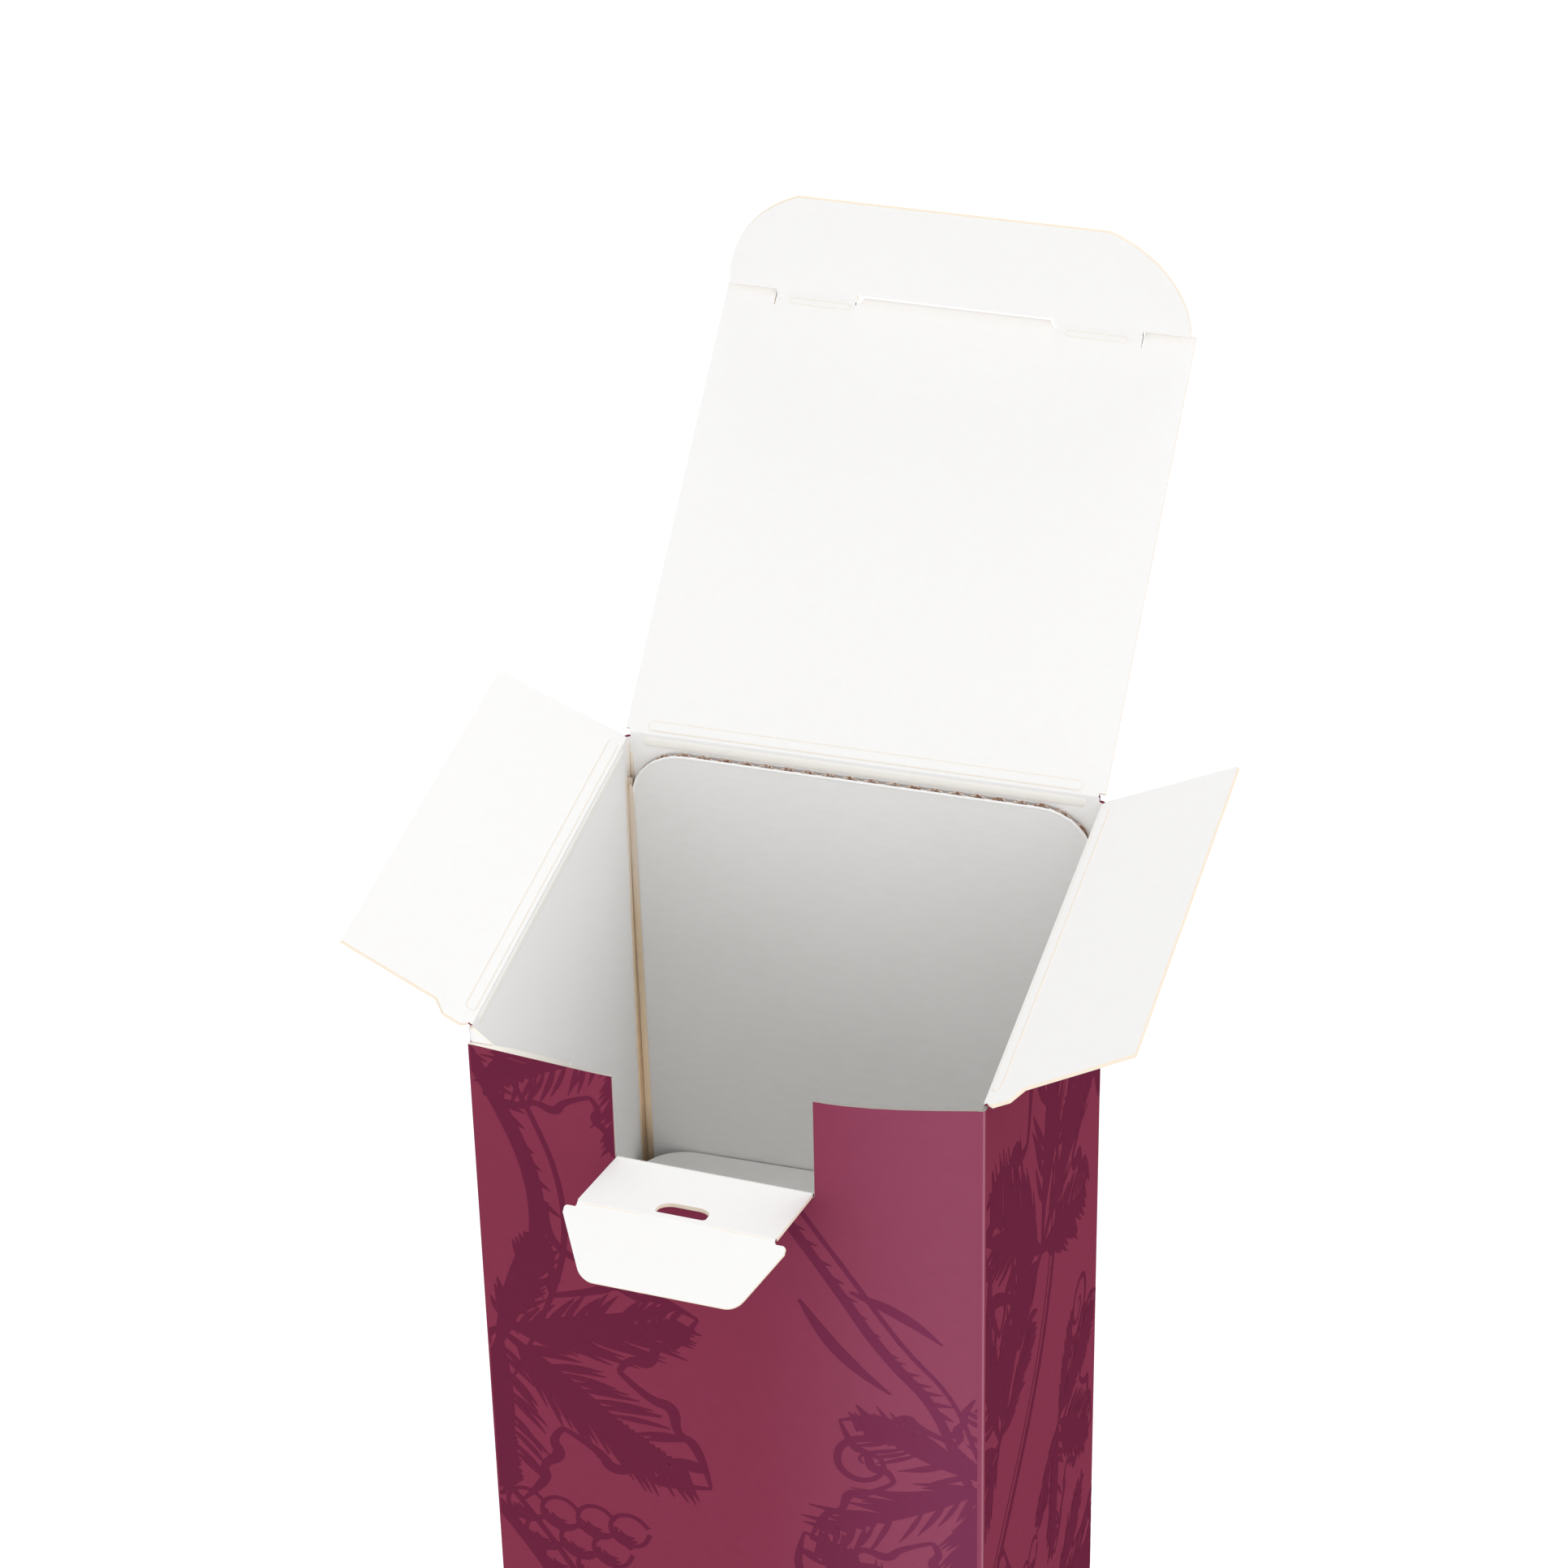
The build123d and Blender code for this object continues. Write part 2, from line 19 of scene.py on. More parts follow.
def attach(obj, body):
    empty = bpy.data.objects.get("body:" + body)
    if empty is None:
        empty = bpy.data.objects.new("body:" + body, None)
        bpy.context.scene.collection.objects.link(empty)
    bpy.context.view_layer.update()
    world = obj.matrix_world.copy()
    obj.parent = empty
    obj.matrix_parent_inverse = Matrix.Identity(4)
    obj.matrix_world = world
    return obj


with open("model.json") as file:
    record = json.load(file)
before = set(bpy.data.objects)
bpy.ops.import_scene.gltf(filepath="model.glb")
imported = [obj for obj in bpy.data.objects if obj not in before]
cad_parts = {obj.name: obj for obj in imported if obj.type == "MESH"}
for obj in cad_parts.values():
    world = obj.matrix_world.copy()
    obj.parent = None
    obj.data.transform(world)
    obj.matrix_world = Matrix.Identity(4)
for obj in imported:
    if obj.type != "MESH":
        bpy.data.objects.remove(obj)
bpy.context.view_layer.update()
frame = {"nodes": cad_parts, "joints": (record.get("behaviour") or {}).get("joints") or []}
carton = frame["nodes"]["carton_body"]
print("pieces in the frame:", sorted(frame["nodes"]))

# %% Sizes that the lesson shares with the CAD model
MM = 0.001
board = 0.6 * MM
half_width = 40.0 * MM
half_depth = 40.8 * MM
fold_height = 320.0 * MM
inner_x = half_width - board
inner_back = half_depth - board
box_middle = Vector((0, 0, fold_height / 2))
x_axis = Vector((1, 0, 0))
y_axis = Vector((0, 1, 0))


def metres(*numbers):
    """A vector from numbers in millimetres."""
    return Vector(numbers) * MM


def new_object(name, data):
    """An object of some data, linked to the scene."""
    thing = bpy.data.objects.new(name, data)
    bpy.context.scene.collection.objects.link(thing)
    return thing


# %% [markdown]
# ## The camera
# It looks down into the box from the right of the front wall. Its place is given
# by two angles and a distance from the middle of the mouth, its roll is the tilt
# of the picture, and the lens follows from the focal length in pixels.

# %% Place the camera
photo_width = 1932
focal_length = 6234.70
sensor_width = 36
yaw = radians(16.262)
pitch = radians(34.486)
roll = radians(-1.314)
camera_offset = metres(-1.843, 19.720, 780.78)

back = Vector((sin(yaw) * cos(pitch), -cos(yaw) * cos(pitch), sin(pitch)))
right = Vector((cos(yaw), sin(yaw), 0))
level = Matrix((right, back.cross(right), back)).transposed()
camera_axes = level @ Matrix.Rotation(roll, 3, "Z")
camera_data = bpy.data.cameras.new("camera")
camera_data.sensor_width = sensor_width
camera_data.lens = focal_length / photo_width * sensor_width
camera = new_object("camera", camera_data)
camera_place = Vector((0, 0, fold_height)) + camera_axes @ camera_offset
camera.matrix_world = Matrix.Translation(camera_place) @ camera_axes.to_4x4()
bpy.context.scene.camera = camera
print("lens in mm:", round(camera_data.lens, 1))

# %% [markdown]
# ## Colours and nodes
# Colours are written as they look on a screen. A shader wants linear light, so one
# function turns them. One more adds a node with its settings and its links, and a
# third hands the last colour and the bump to the shader.


# %% Turn a colour to linear light
def linear(code):
    """A linear colour with alpha from an sRGB code such as 8A3B52."""
    parts = [int(code[i : i + 2], 16) / 255 for i in (0, 2, 4)]
    bent = [p / 12.92 if p <= 0.04045 else ((p + 0.055) / 1.055) ** 2.4 for p in parts]
    return (*bent, 1.0)


# %% Add a node
def add(tree, kind, values=None):
    """A new node, whose kind may name an operation after a dot.

    Each value is a setting, or a link from a socket or from a node's first one.
    """
    kind, _, operation = kind.partition(".")
    node = tree.nodes.new("ShaderNode" + kind)
    if operation:
        node.operation = operation
    for key, value in (values or {}).items():
        if isinstance(value, bpy.types.Node):
            value = value.outputs[0]
        if isinstance(value, bpy.types.NodeSocket):
            tree.links.new(value, node.inputs[key])
        elif isinstance(key, int) or key in node.inputs:
            node.inputs[key].default_value = value
        else:
            setattr(node, key, value)
    return node


# %% Start and end a material
def new_material(name, roughness, specular):
    """A material with one principled shader, and add bound to its node tree."""
    material = bpy.data.materials.new(name)
    material.use_nodes = True
    shader = material.node_tree.nodes["Principled BSDF"]
    shader.inputs["Roughness"].default_value = roughness
    shader.inputs["Specular IOR Level"].default_value = specular
    return material, partial(add, material.node_tree), shader


def coat(shader, colour, bump):
    """Link the last colour and the bump to the shader."""
    links = shader.id_data.links
    links.new(colour.outputs[0], shader.inputs["Base Color"])
    links.new(bump.outputs[0], shader.inputs["Normal"])


# %% [markdown]
# ## Paper fibre
# Bare board isn't one flat white. Its fibres lie in clouds about a millimetre
# across, and a finer tooth catches the light. Both come from noise in the piece's
# own coordinates, which are in metres, so a scale is one over a size.

# %% Fibre clouds and tooth
cloud_size = 2.4 * MM
cloud_noise = {"Scale": 1 / cloud_size, "Detail": 3.0, "Roughness": 0.65}
tooth_size = 0.35 * MM
tooth_noise = {"Scale": 1 / tooth_size, "Detail": 2.0}
tooth_strength = 0.25
bare_tooth = 0.02 * MM
coated_tooth = 0.01 * MM
pressed_tooth = 0.03 * MM


def paper_fibre(put, place, pale, dull, depth):
    """The fibres' colour and the bump of the tooth, for board at a place."""
    clouds = put("TexNoise", {**cloud_noise, "Vector": place})
    colour = put("MixRGB", {"Fac": clouds, "Color1": linear(pale), "Color2": linear(dull)})
    tooth = put("TexNoise", {**tooth_noise, "Vector": place})
    bump = put("Bump", {"Strength": tooth_strength, "Distance": depth, "Height": tooth})
    return colour, bump


# %% [markdown]
# ## Folding board with a printed side
# The sheet is solid bleached board: bare white inside, coated and printed burgundy
# outside, with a cream core that shows at each cut. One sheet has all three, so
# one material tells them apart by the way a face looks: along the panel's inner
# side it is white, against it burgundy, and square to it the cut core.

# %% Colours of the board
bare_white = ("FCFCFB", "F9F8F7")
cut_core = ("FDF2E2", "F9EAD4")
# The front wall's cut edge: a grey of painted shade, a cream painted highlight towards its left end, and
# deeper painted shade from its middle to its right
front_cut_shade = ("C4C0BA", "B9B5AE")
front_cut_highlight_and_shade = (("FEFAF0", -22, -38), ("A8A49E", -10, 10))
burgundy = ("893951", "84354C")
# A paler burgundy: painted highlight towards the front wall's right edge, where the wall bows round to the
# light
painted_light_burgundy = ("964B64", "914660")
# A painted highlight on the rounded upright folds
painted_fold_highlight = "D9A3B4"
board_roughness = 0.72
board_specular = 0.0
cut_slope = 0.6


# %% One panel's material
def panel_board(name, inner, middle, cut_edges=True):
    """Board of a flat panel: inner is its white side's direction, middle a point in its core."""
    material, put, shader = new_material(name, board_roughness, board_specular)
    place = put("TexCoord")
    here, look = place.outputs["Object"], place.outputs["Normal"]
    white, tooth = paper_fibre(put, here, *bare_white, bare_tooth)
    inked, _ = paper_fibre(put, here, *burgundy, coated_tooth)
    core, _ = paper_fibre(put, here, *cut_core, bare_tooth)
    from_middle = put("VectorMath.SUBTRACT", {0: here, 1: middle})
    height = put("VectorMath.DOT_PRODUCT", {0: from_middle, 1: inner})
    inside = put("Math.GREATER_THAN", {0: height.outputs["Value"], 1: 0.0})
    colour = put("MixRGB", {"Fac": inside, "Color1": inked, "Color2": white})
    if cut_edges:
        facing = put("VectorMath.DOT_PRODUCT", {0: look, 1: inner})
        steepness = put("Math.ABSOLUTE", {0: facing.outputs["Value"]})
        cut = put("Math.LESS_THAN", {0: steepness, 1: cut_slope})
        colour = put("MixRGB", {"Fac": cut, "Color1": colour, "Color2": core})
    coat(shader, colour, tooth)
    return material


# %% [markdown]
# ## Which way each flap faces
# The flaps stand at odd angles. Their inner side is measured on the CAD mesh: it
# is the largest face that looks the way the inside is known to look.


# %% Measure a flap
def inner_side(node, towards):
    """The direction of the node's largest face that looks towards a vector, and a point in its core."""
    mesh = frame["nodes"][node].data
    area = {}
    for face in mesh.polygons:
        if face.normal.dot(towards) > 0.5:
            key = tuple(round(c, 3) for c in face.normal)
            total, spot = area.get(key, (0.0, Vector()))
            area[key] = (total + face.area, spot + face.center * face.area)
    key = max(area, key=lambda k: area[k][0])
    total, spot = area[key]
    direction = Vector(key).normalized()
    return direction, spot / total - direction * board / 2


flap_inside = {
    "lid": Vector((0, -0.6, 0.8)),
    "tuck_flap": Vector((0, -1, -0.2)),
    "dust_flap_left": Vector((0.5, 0, 0.9)),
    "dust_flap_right": Vector((-0.5, 0, 0.9)),
    "lock_tab": Vector((0, 0.3, 1)),
    "lock_tongue": Vector((0, -0.6, 0.8)),
}
flap = {}
for node, towards in flap_inside.items():
    inner, middle = inner_side(node, towards)
    flap[node] = {
        "inner": inner,
        "cut": panel_board("bleached board cut " + node, inner, middle),
        "fold": panel_board("bleached board folded " + node, inner, middle, cut_edges=False),
    }
    frame["nodes"][node].material_slots[0].material = flap[node]["cut"]
    print(node, "inside looks along", [round(c, 3) for c in inner])

# %% [markdown]
# ## The carton's walls
# The same board stands round a square here, so the middle of the box says which
# side of a wall is outside: there a face looks away from it. The front wall's cut
# edge is painted with light and shade: a cream painted highlight at its left end,
# and painted shade, a grey that grows duller, towards its right. Its glue flap,
# which looks out over the left shoulder, is bare, because glue holds badly on ink.
# Towards its right edge, where the front wall bows round to the light, its print is painted paler: a
# painted highlight on both the burgundy and the ink.


# %% Turn a colour along an axis
def turn_along(put, place, colour, turns):
    """The colour, mixed to others, each between two places in mm along an axis."""
    for code, begins, ends in turns:
        span = {"From Min": begins * MM, "From Max": ends * MM}
        reach = put("MapRange", {**span, "Value": place})
        colour = put("MixRGB", {"Fac": reach, "Color1": colour, "Color2": linear(code)})
    return colour


# %% Find where the front wall's print takes its painted highlight
front_slope = -0.6  # a face looks to the front where its normal's y is below this
# Across this span of x the painted highlight grows towards the front wall's right edge
painted_light_field = {"interpolation_type": "SMOOTHSTEP", "From Min": 0.0, "From Max": 38.0 * MM}


def painted_light_part(put, spot, look):
    """Rises to 1 towards the right edge of faces that look to the front: the share of painted highlight.
    """
    to_front = put("Math.LESS_THAN", {0: look["Y"], 1: front_slope})
    across = put("MapRange", {**painted_light_field, "Value": spot["X"]})
    return put("Math.MULTIPLY", {0: across, 1: to_front})


# %% Material of the walls
outside_from = 20 * MM
front_edge_y = -35 * MM
front_top_z = 296 * MM
notch_reach = 20 * MM
shoulder_z = 317.25 * MM
upward_slope = 0.3
sideways_slope = 0.7
# How much painted highlight a fold gets by the slant of its normal
fold_highlight_range = {"From Min": 0.42, "From Max": 0.5, "To Max": 0.3}


def carton_board():
    """Board of the four walls and the bottom."""
    material, put, shader = new_material("bleached board printed walls", board_roughness, board_specular)
    place = put("TexCoord")
    here, looking = place.outputs["Object"], place.outputs["Normal"]
    spot = put("SeparateXYZ", {0: here}).outputs
    look = put("SeparateXYZ", {0: looking}).outputs
    white, tooth = paper_fibre(put, here, *bare_white, bare_tooth)
    dark_print, _ = paper_fibre(put, here, *burgundy, coated_tooth)
    painted_light_print, _ = paper_fibre(put, here, *painted_light_burgundy, coated_tooth)
    # The front wall's cut edge, with its painted highlight and painted shade along x
    core, _ = paper_fibre(put, here, *front_cut_shade, bare_tooth)
    core = turn_along(put, spot["X"], core, front_cut_highlight_and_shade)
    from_middle = put("VectorMath.SUBTRACT", {0: here, 1: box_middle})
    away = put("VectorMath.DOT_PRODUCT", {0: from_middle, 1: looking})
    outside = put("Math.GREATER_THAN", {0: away.outputs["Value"], 1: outside_from})
    # The ground takes the painted highlight towards the front wall's right edge
    painted_light = painted_light_part(put, spot, look)
    ground = put("MixRGB", {"Fac": painted_light, "Color1": dark_print, "Color2": painted_light_print})
    # The glue flap stands above the left shoulder and isn't printed
    low_enough = put("Math.LESS_THAN", {0: spot["Z"], 1: shoulder_z})
    clear_of_glue = put("Math.GREATER_THAN", {0: spot["X"], 1: 0.0})
    inked = put("Math.MAXIMUM", {0: low_enough, 1: clear_of_glue})
    not_front = put("Math.GREATER_THAN", {0: look["Y"], 1: front_slope})
    printable = put("Math.MAXIMUM", {0: inked, 1: not_front})
    printed = put("Math.MULTIPLY", {0: outside, 1: printable})
    # The upright folds are rounded, so their normal is slanted; there a paler burgundy is a painted
    # highlight
    slant = put("Math.MULTIPLY", {0: look["X"], 1: look["Y"]})
    slant_size = put("Math.ABSOLUTE", {0: slant})
    fold_highlight_share = put("MapRange", {**fold_highlight_range, "Value": slant_size})
    highlighted_ground = put("MixRGB", {"Fac": fold_highlight_share, "Color1": ground, "Color2": linear(painted_fold_highlight)})
    sides = put("MixRGB", {"Fac": printed, "Color1": white, "Color2": highlighted_ground})
    # Cut edges: faces that look up at the front wall's top, or along it in the notch
    near_front = put("Math.LESS_THAN", {0: spot["Y"], 1: front_edge_y})
    near_top = put("Math.GREATER_THAN", {0: spot["Z"], 1: front_top_z})
    looks_up = put("Math.GREATER_THAN", {0: look["Z"], 1: upward_slope})
    sideways = put("Math.ABSOLUTE", {0: look["X"]})
    looks_along = put("Math.GREATER_THAN", {0: sideways, 1: sideways_slope})
    from_side = put("Math.ABSOLUTE", {0: spot["X"]})
    in_notch = put("Math.LESS_THAN", {0: from_side, 1: notch_reach})
    notch_side = put("Math.MULTIPLY", {0: looks_along, 1: in_notch})
    either = put("Math.MAXIMUM", {0: looks_up, 1: notch_side})
    region = put("Math.MULTIPLY", {0: near_front, 1: near_top})
    cut = put("Math.MULTIPLY", {0: either, 1: region})
    colour = put("MixRGB", {"Fac": cut, "Color1": sides, "Color2": core})
    coat(shader, colour, tooth)
    return material


carton.material_slots[0].material = carton_board()
print("walls:", carton.material_slots[0].material.name)

# %% [markdown]
# ## The corrugated insert
# Fine-flute board is two white liners with a brown wave between them. The CAD
# model has the real channels, so the material only has to give the wave and the
# cut core their kraft brown and leave the liners' faces white. Liners are duller
# than the carton's board, with fibres drawn out along the machine's way.

# %% Material of the corrugated board
insert_back_middle = 39.43 * MM
insert_front_middle = -38.75 * MM
collar_middle = 236.25 * MM
bottom_middle = 2.55 * MM
core_half = 0.45 * MM
collar_rear = 38.45 * MM
streak_size = (4.0 * MM, 1.6 * MM, 1.1 * MM)
streak_noise = {"Scale": 1.0, "Detail": 4.0, "Roughness": 0.7}
fibre_size = 0.5 * MM
liner_shades = {"Color1": linear("F5F4F3"), "Color2": linear("ECEBE9")}
kraft_shades = {"Color1": linear("AB7E66"), "Color2": linear("EADFD4")}
liner_roughness = 0.8
liner_specular = 0.15
liner_bump = {"Strength": 0.2, "Distance": 0.03 * MM}


def corrugated_board():
    """White liners over a kraft wave, told apart by the place in the sheet."""
    material, put, shader = new_material("fine flute corrugated board", liner_roughness, liner_specular)
    here = put("TexCoord").outputs["Object"]
    spot = put("SeparateXYZ", {0: here}).outputs
    stretched = put("Mapping", {"Scale": tuple(1 / size for size in streak_size), "Vector": here})
    streaks = put("TexNoise", {**streak_noise, "Vector": stretched})
    liner = put("MixRGB", {**liner_shades, "Fac": streaks})
    fibres = put("TexNoise", {"Scale": 1 / fibre_size, "Detail": 3.0, "Vector": here})
    picked = put("MapRange", {"From Min": 0.4, "From Max": 0.6, "Value": fibres})
    kraft = put("MixRGB", {**kraft_shades, "Fac": picked})

    def near(axis, middle):
        """1 within the sheet's core round a middle plane."""
        apart = put("Math.SUBTRACT", {0: spot[axis], 1: middle})
        size = put("Math.ABSOLUTE", {0: apart})
        return put("Math.LESS_THAN", {0: size, 1: core_half})

    before_rear = put("Math.LESS_THAN", {0: spot["Y"], 1: collar_rear})
    level_core = put("Math.MAXIMUM", {0: near("Z", collar_middle), 1: near("Z", bottom_middle)})
    level_core = put("Math.MULTIPLY", {0: level_core, 1: before_rear})
    back_core, front_core = near("Y", insert_back_middle), near("Y", insert_front_middle)
    upright_core = put("Math.MAXIMUM", {0: back_core, 1: front_core})
    core = put("Math.MAXIMUM", {0: upright_core, 1: level_core})
    colour = put("MixRGB", {"Fac": core, "Color1": liner, "Color2": kraft})
    coat(shader, colour, put("Bump", {**liner_bump, "Height": fibres}))
    return material


insert_material = corrugated_board()
frame["nodes"]["insert"].material_slots[0].material = insert_material
print("insert:", insert_material.name)


# %% [markdown]
# ## From a bmesh to a piece
# Each new piece is shaped in a bmesh, whose place is in its mesh. This helper
# merges doubles, turns the faces outwards and hands the piece to its body.

# %% Finish a piece
merge_distance = 0.0005 * MM


def only(kind, parts):
    """The parts of one kind, such as vertices or edges."""
    return [part for part in parts if isinstance(part, kind)]


def finish_piece(name, shape, material, body, smooth=False):
    """An object from a bmesh, riding on a body."""
    bmesh.ops.remove_doubles(shape, verts=shape.verts, dist=merge_distance)
    bmesh.ops.recalc_face_normals(shape, faces=shape.faces)
    mesh = bpy.data.meshes.new(name)
    shape.to_mesh(mesh)
    shape.free()
    for face in mesh.polygons:
        face.use_smooth = smooth
    mesh.materials.append(material)
    piece = new_object(name, mesh)
    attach(piece, body)
    return piece


# %% Turn a curve into a mesh
def mesh_of_curve(name, data):
    """The mesh of a curve, whose own object is removed again."""
    curve = new_object(name, data)
    bpy.context.view_layer.update()
    mesh = bpy.data.meshes.new_from_object(curve)
    bpy.data.objects.remove(curve)
    return mesh


# %% [markdown]
# ## Liner behind the collar's rounded corners
# Beyond the collar's rounded rear corners the back panel's liner is whole. A very
# thin plate gives it back where the model's collar flutes run on into it.

# %% Two thin plates
plate_x, plate_y, plate_z = 32.0, 38.588, 236.3
plate_size = metres(12.8, 0.022, 3.0)
for side, label in ((-1, "left"), (1, "right")):
    shape = bmesh.new()
    place = Matrix.Translation(metres(side * plate_x, plate_y, plate_z))
    bmesh.ops.create_cube(shape, size=1, matrix=place @ Matrix.Diagonal((*plate_size, 1)))
    finish_piece("liner_patch_" + label, shape, insert_material, "carton")

# %% [markdown]
# ## Closed folds
# On the real box a flap and its wall are one sheet. The CAD model leaves a hair's
# gap at each fold, so that the flap can turn. A strip with a round nose, centred
# on the hinge, fills it: the nose turns in place inside the wall's rolled edge,
# so the fold stays closed however far the flap swings.

# %% A strip with a round nose
nose_radius = 0.306 * MM
nose_segments = 32
strip_reach = 0.7 * MM


def fold_strip(name, node, hinge, along, away, span, body):
    """A strip from the hinge line onto a flap, between two distances along the fold."""
    along = along.normalized()
    away = away.normalized()
    start = hinge + along * span[0]
    turn = Matrix((away, along.cross(away), along)).transposed()
    shape = bmesh.new()
    bmesh.ops.create_circle(
        shape,
        cap_ends=True,
        segments=nose_segments,
        radius=nose_radius,
        matrix=Matrix.Translation(start) @ turn.to_4x4(),
    )
    ahead = [v for v in shape.verts if (v.co - start).dot(away) > nose_radius * 0.05]
    bmesh.ops.translate(shape, verts=ahead, vec=away * strip_reach)
    longer = bmesh.ops.extrude_face_region(shape, geom=shape.faces[:])["geom"]
    moved = only(BMVert, longer)
    bmesh.ops.translate(shape, verts=moved, vec=along * (span[1] - span[0]))
    finish_piece(name, shape, flap[node]["fold"], body)
    print(name, "is", round((span[1] - span[0]) / MM, 1), "mm long")


# %% Hinge lines from the frame
hinges = {joint["name"]: joint for joint in frame["joints"]}


def hinge_of(name):
    """The point and the axis of a joint."""
    joint = hinges[name]
    return Vector(joint["pos_m"]), Vector(joint["axis"]).normalized()


def across_fold(node, axis, opposite):
    """The direction from a fold over its flap, square to the fold and to the flap's face."""
    away = flap[node]["inner"].cross(axis)
    return away if away.dot(opposite) > 0 else -away


# %% Strips of the lid and the dust flaps
lid_hinge, lid_axis = hinge_of("lid_hinge")
lid_away = across_fold("lid", lid_axis, Vector((0, 1, 1)))
left_hinge, left_axis = hinge_of("dust_left_fold")
left_away = across_fold("dust_flap_left", left_axis, -x_axis)
right_hinge, right_axis = hinge_of("dust_right_fold")
right_away = across_fold("dust_flap_right", right_axis, x_axis)
lid_span = (-39.1 * MM, 38.8 * MM)
dust_span = (-39.4 * MM, 39.6 * MM)
for name, node, hinge, along, away, span, body in (
    ("lid_fold", "lid", lid_hinge, x_axis, lid_away, lid_span, "lid"),
    ("dust_left_fold_strip", "dust_flap_left", left_hinge, y_axis, left_away, dust_span, "dust_left"),
    ("dust_right_fold_strip", "dust_flap_right", right_hinge, y_axis, right_away, dust_span, "dust_right"),
):
    fold_strip(name, node, hinge, along, away, span, body)

# %% [markdown]
# The tuck flap's crease is cut in three: friction slits near both ends and the
# lock slot in the middle. Between them the sheet is whole, so each of the two
# stretches gets a strip on the lid and one on the tuck flap, nose in nose.

# %% Strips of the tuck flap's crease
tuck_hinge, tuck_axis = hinge_of("tuck_fold")
tuck_away = across_fold("tuck_flap", tuck_axis, Vector((0, 0, 1)))
crease_spans = {"left": (-31.1 * MM, -17.6 * MM), "right": (16.6 * MM, 31.1 * MM)}
for side, span in crease_spans.items():
    fold_strip("tuck_crease_lid_" + side, "lid", tuck_hinge, x_axis, -lid_away, span, "lid")
    fold_strip("tuck_crease_flap_" + side, "tuck_flap", tuck_hinge, x_axis, tuck_away, span, "tuck")

# %% [markdown]
# The lock tongue turns in the middle of the tab's board, so it takes the same
# pair of strips, one on the tab and one on the tongue.

# %% Strips of the tongue's fold
tongue_hinge, tab_axis = hinge_of("lock_tongue_fold")
tab_away = across_fold("lock_tab", tab_axis, Vector((0, -1, 0)))
tongue_away = across_fold("lock_tongue", tab_axis, Vector((0, -1, -1)))
neck = (-15.3 * MM, 15.3 * MM)
fold_strip("tongue_fold_tab", "lock_tab", tongue_hinge, -tab_axis, -tab_away, neck, "tab")
fold_strip("tongue_fold_tongue", "lock_tongue", tongue_hinge, -tab_axis, tongue_away, neck, "tongue")

# %% [markdown]
# ## The tab's fold on the notch's foot
# This fold turns about a line just outside the wall, because the tab folds out
# over the front. The sheet's section is swung round that line with spin: once on
# the wall and once on the tab. Folded up, both hide in the board; folded down,
# they slide apart and still cover the wall's edge.

# %% Board of one colour
def plain_board(name, colours, by_height=()):
    """Board of one colour, which may turn to others between two heights each."""
    material, put, shader = new_material(name, board_roughness, board_specular)
    here = put("TexCoord").outputs["Object"]
    colour, tooth = paper_fibre(put, here, *colours, pressed_tooth)
    height = put("SeparateXYZ", {0: here}).outputs["Z"]
    coat(shader, turn_along(put, height, colour, by_height), tooth)
    return material


# %% Spin the section round the fold
tab_hinge, tab_fold_axis = hinge_of("lock_tab_fold")
skin = 0.004 * MM
section_near = 0.1 * MM - skin
section_far = 0.7 * MM + skin
spin_steps = 14
tab_half_length = 15.45 * MM
sector_share = 0.75
into_wall = tab_fold_axis.cross(Vector((0, 0, 1)))
if into_wall.y < 0:
    into_wall = -into_wall
bare_side = plain_board("bleached board bare side", bare_white)
printed_side = plain_board("bleached board printed side", burgundy)


def fold_sector(name, towards, angle, body):
    """A part of a tube round the tab's fold line, from a direction through an angle."""
    along = -tab_fold_axis
    shape = bmesh.new()
    corners = [
        tab_hinge + along * tab_half_length * side + towards * reach
        for side, reach in ((-1, section_near), (1, section_near), (1, section_far), (-1, section_far))
    ]
    face = shape.faces.new([shape.verts.new(c) for c in corners])
    bmesh.ops.spin(
        shape,
        geom=[face, *face.edges, *face.verts],
        cent=tab_hinge,
        axis=along,
        angle=angle,
        steps=spin_steps,
    )
    piece = finish_piece(name, shape, bare_side, body)
    piece.data.materials.append(printed_side)
    for face in piece.data.polygons:
        arm = face.center - tab_hinge
        arm -= along * arm.dot(along)
        face.material_index = 0 if arm.length > (section_near + section_far) / 2 else 1
    print(name, "has", len(piece.data.polygons), "faces")


tab_inner = flap["lock_tab"]["inner"]
swing = atan2(into_wall.cross(tab_inner).dot(-tab_fold_axis), into_wall.dot(tab_inner))
fold_sector("tab_fold_wall", into_wall, swing * sector_share, "carton")
fold_sector("tab_fold_tab", tab_inner, -swing * sector_share, "tab")

# %% [markdown]
# ## Pressed creases in the corners
# The upright corners are creased from inside before the sheet is folded. The
# crease stays as a thin raised line with a rounded end, and the cream core shows
# where the coating broke. Rounded rods, half sunk in the corner, give that. Their
# colour changes with height: painted light and painted shade.

# %% Material of a broken crease
crease_cream = ("ECD6B9", "DCC6A8")
# Painted light and shade by height: paler towards the mouth, a brighter tan lower down that lifts the
# gap's shade, and painted shade near the collar
crease_light_and_shade_by_height = (
    ("E6D7C5", 284, 297), ("F8F0E4", 312, 316), ("FDE2BF", 274, 256), ("CEB597", 246, 238))
crease_material = plain_board("bleached board broken crease", crease_cream, crease_light_and_shade_by_height)


# %% A rounded rod
rod_segments, rod_rings = 20, 10


def rounded_rod(name, start, end, radii, material):
    """A rod with round ends and an oval section, from a start to an end."""
    way = end - start
    shape = bmesh.new()
    bmesh.ops.create_uvsphere(
        shape,
        u_segments=rod_segments,
        v_segments=rod_rings,
        radius=1,
        matrix=Matrix.Translation(start) @ Matrix.Diagonal((*radii, 1)),
    )
    ahead = [v for v in shape.verts if (v.co - start).dot(way.normalized()) > 0.01 * MM]
    bmesh.ops.translate(shape, verts=ahead, vec=way)
    return finish_piece(name, shape, material, "carton", smooth=True)


